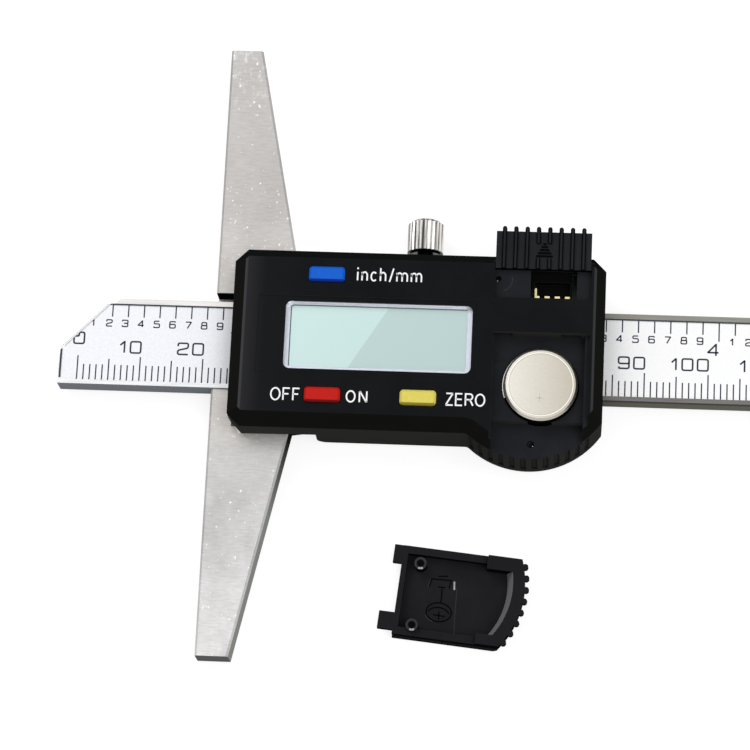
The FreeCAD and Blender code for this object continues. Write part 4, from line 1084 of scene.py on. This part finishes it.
def dress_plastic():
    paint(housing_plastic("housing_black"), "housing_shell")
    # The slope, wall and edge tones of these plastics are painted light and shade; the battery cover's
    # pale slope tone is a painted highlight.
    paint(moulded_plastic("port_cover_black", srgb(36, 37, 39), srgb(14, 14, 15), srgb(12, 12, 12),
                          srgb(50, 51, 53), 0.35), "data_port_cover")
    paint(moulded_plastic("cover_black", srgb(31, 31, 33), srgb(122, 122, 127), srgb(16, 16, 17),
                          srgb(66, 66, 68), 0.45), "battery_cover")
    paint(moulded_plastic("connector_black", srgb(13, 14, 13), srgb(13, 14, 13), srgb(8, 8, 8),
                          srgb(58, 62, 58), 0.7),
          "data_port_connector", "chip_cover_blob", "lcd_contact_strips")
    paint(button_plastic("button_blue", srgb(12, 94, 206), srgb(6, 42, 138)), "button_unit")
    paint(button_plastic("button_red", srgb(191, 24, 15), srgb(102, 10, 8)), "button_power")
    paint(button_plastic("button_yellow", srgb(222, 210, 98), srgb(150, 134, 50)), "button_zero")


def dress_display(film, glass):
    paint(film, "scale_label")
    paint(circuit_board("board_green"), "main_circuit_board", "scale_circuit_strip")
    paint(glass, "lcd_panel")
    paint(clear_window("window_clear"), "display_window")


# ================================================================ stage, light and camera
FLOOR_SIZE = 6.0
FLOOR_SINK = 0.02
FLOOR_ALBEDO = 0.3
FLOOR_LIFT = 0.8
AMBIENT = 0.5
# Each softbox: place, the point it looks at, width, height and power, in metres and watts.
KEY_SOFTBOX = ((-0.4, 0.5, 0.78), (0.03, 0.0, 0.0), 0.6, 0.6, 3.5)
FILL_SOFTBOX = ((0.38, -0.2, 0.82), (0.05, 0.0, 0.0), 0.6, 0.6, 3.2)


def seen_directly(tree):
    """1 for camera, glossy and transmission rays, 0 for the rest."""
    path = tree.nodes.new("ShaderNodeLightPath")
    seen = math_node(tree, "MAXIMUM", path.outputs["Is Camera Ray"], path.outputs["Is Glossy Ray"])
    return math_node(tree, "MAXIMUM", seen, path.outputs["Is Transmission Ray"])


def build_floor():
    """White floor just under the object; its lift shows it white without lighting the object."""
    bm = bmesh.new()
    half = FLOOR_SIZE / 2 / MM
    add_bar(bm, -half, half, -half, half, -FLOOR_SINK)
    mesh = mesh_from(bm, "floor")
    floor = bpy.data.objects.new("floor", mesh)
    bpy.context.scene.collection.objects.link(floor)
    material, tree, shader = new_material("floor_white")
    shader.inputs["Base Color"].default_value = (FLOOR_ALBEDO,) * 3 + (1.0,)
    shader.inputs["Roughness"].default_value = 0.9
    shader.inputs["Specular IOR Level"].default_value = 0.0
    shader.inputs["Emission Color"].default_value = WHITE
    strength = math_node(tree, "MULTIPLY", seen_directly(tree), FLOOR_LIFT)
    link(tree, strength, shader.inputs["Emission Strength"])
    mesh.materials.append(material)


def build_world():
    world = bpy.data.worlds.new("studio")
    world.use_nodes = True
    tree = world.node_tree
    background = tree.nodes["Background"]
    background.inputs["Color"].default_value = WHITE
    strength = remap(tree, seen_directly(tree), 0.0, 1.0, AMBIENT, 1.0)
    link(tree, strength, background.inputs["Strength"])
    bpy.context.scene.world = world


def add_softbox(name, place, target, width, height, power):
    light = bpy.data.lights.new(name, "AREA")
    light.shape = "RECTANGLE"
    light.size = width
    light.size_y = height
    light.energy = power
    lamp = bpy.data.objects.new(name, light)
    bpy.context.scene.collection.objects.link(lamp)
    lamp.location = place
    lamp.rotation_euler = (Vector(target) - Vector(place)).to_track_quat("-Z", "Y").to_euler()


def build_lights():
    add_softbox("key_softbox", *KEY_SOFTBOX)
    add_softbox("fill_softbox", *FILL_SOFTBOX)


def build_camera():
    camera_data = bpy.data.cameras.new("photo_view")
    camera_data.lens = CAMERA_LENS
    camera_data.sensor_width = CAMERA_SENSOR
    camera_data.clip_start = 0.01
    camera_data.clip_end = 50.0
    camera = bpy.data.objects.new("photo_view", camera_data)
    bpy.context.scene.collection.objects.link(camera)
    back = (Vector(CAMERA_PLACE) - Vector(CAMERA_TARGET)).normalized()
    across_foot = Vector((0.0, 1.0, 0.0))
    level_up = (across_foot - back * across_foot.dot(back)).normalized()
    level = Matrix((level_up.cross(back), level_up, back)).transposed().to_4x4()
    roll = Matrix.Rotation(math.radians(CAMERA_ROLL_DEG), 4, "Z")
    camera.matrix_world = Matrix.Translation(Vector(CAMERA_PLACE) * MM) @ level @ roll
    bpy.context.scene.camera = camera


# ================================================================ assembly
def build_prints(film):
    ink = printed_ink("scale_ink", srgb(50, 56, 68))
    white = printed_ink("white_ink", srgb(240, 240, 242))
    build_metric_scale(ink)
    build_inch_scale(ink)
    build_label_hem(film)
    # The label's edge lines are painted shade.
    build_label_edge(printed_ink("label_edge_shade", srgb(62, 68, 74)))
    build_bevel_line(printed_ink("bevel_line_grey", srgb(168, 171, 174)))
    for name, place, letters in WORDS:
        build_word(name, place, letters, white)


def build_details(glass):
    # Painted shade, faint painted highlight and painted glints for the small moulded marks.
    shade = printed_ink("moulding_shade", srgb(9, 9, 9))
    faint_highlight = printed_ink("moulding_highlight", srgb(52, 52, 54))
    glint = printed_ink("moulding_glint", srgb(150, 152, 154))
    build_port_arrow(shade)
    build_cell_marks(polished_metal("cell_groove_shade", srgb(176, 170, 160), 0.4),
                     polished_metal("cell_ridge_highlight", srgb(244, 240, 230), 0.3))
    build_pit_marks(shade, glint, faint_highlight)
    build_lcd_sheet(glass)
    build_lcd_line(printed_ink("lcd_frame_shadow", srgb(94, 106, 110)))
    build_cover_marks(shade, glint, faint_highlight)
    build_foot_glint(printed_ink("highlight_white", srgb(253, 252, 246)))


def build_scene():
    film = label_film("scale_label_film")
    glass = lcd_glass("lcd_blank")
    dress_metal()
    dress_plastic()
    dress_display(film, glass)
    build_prints(film)
    build_details(glass)
    build_floor()
    build_world()
    build_lights()
    build_camera()
    bpy.context.scene.view_settings.view_transform = "Standard"


build_scene()
bpy.context.view_layer.update()
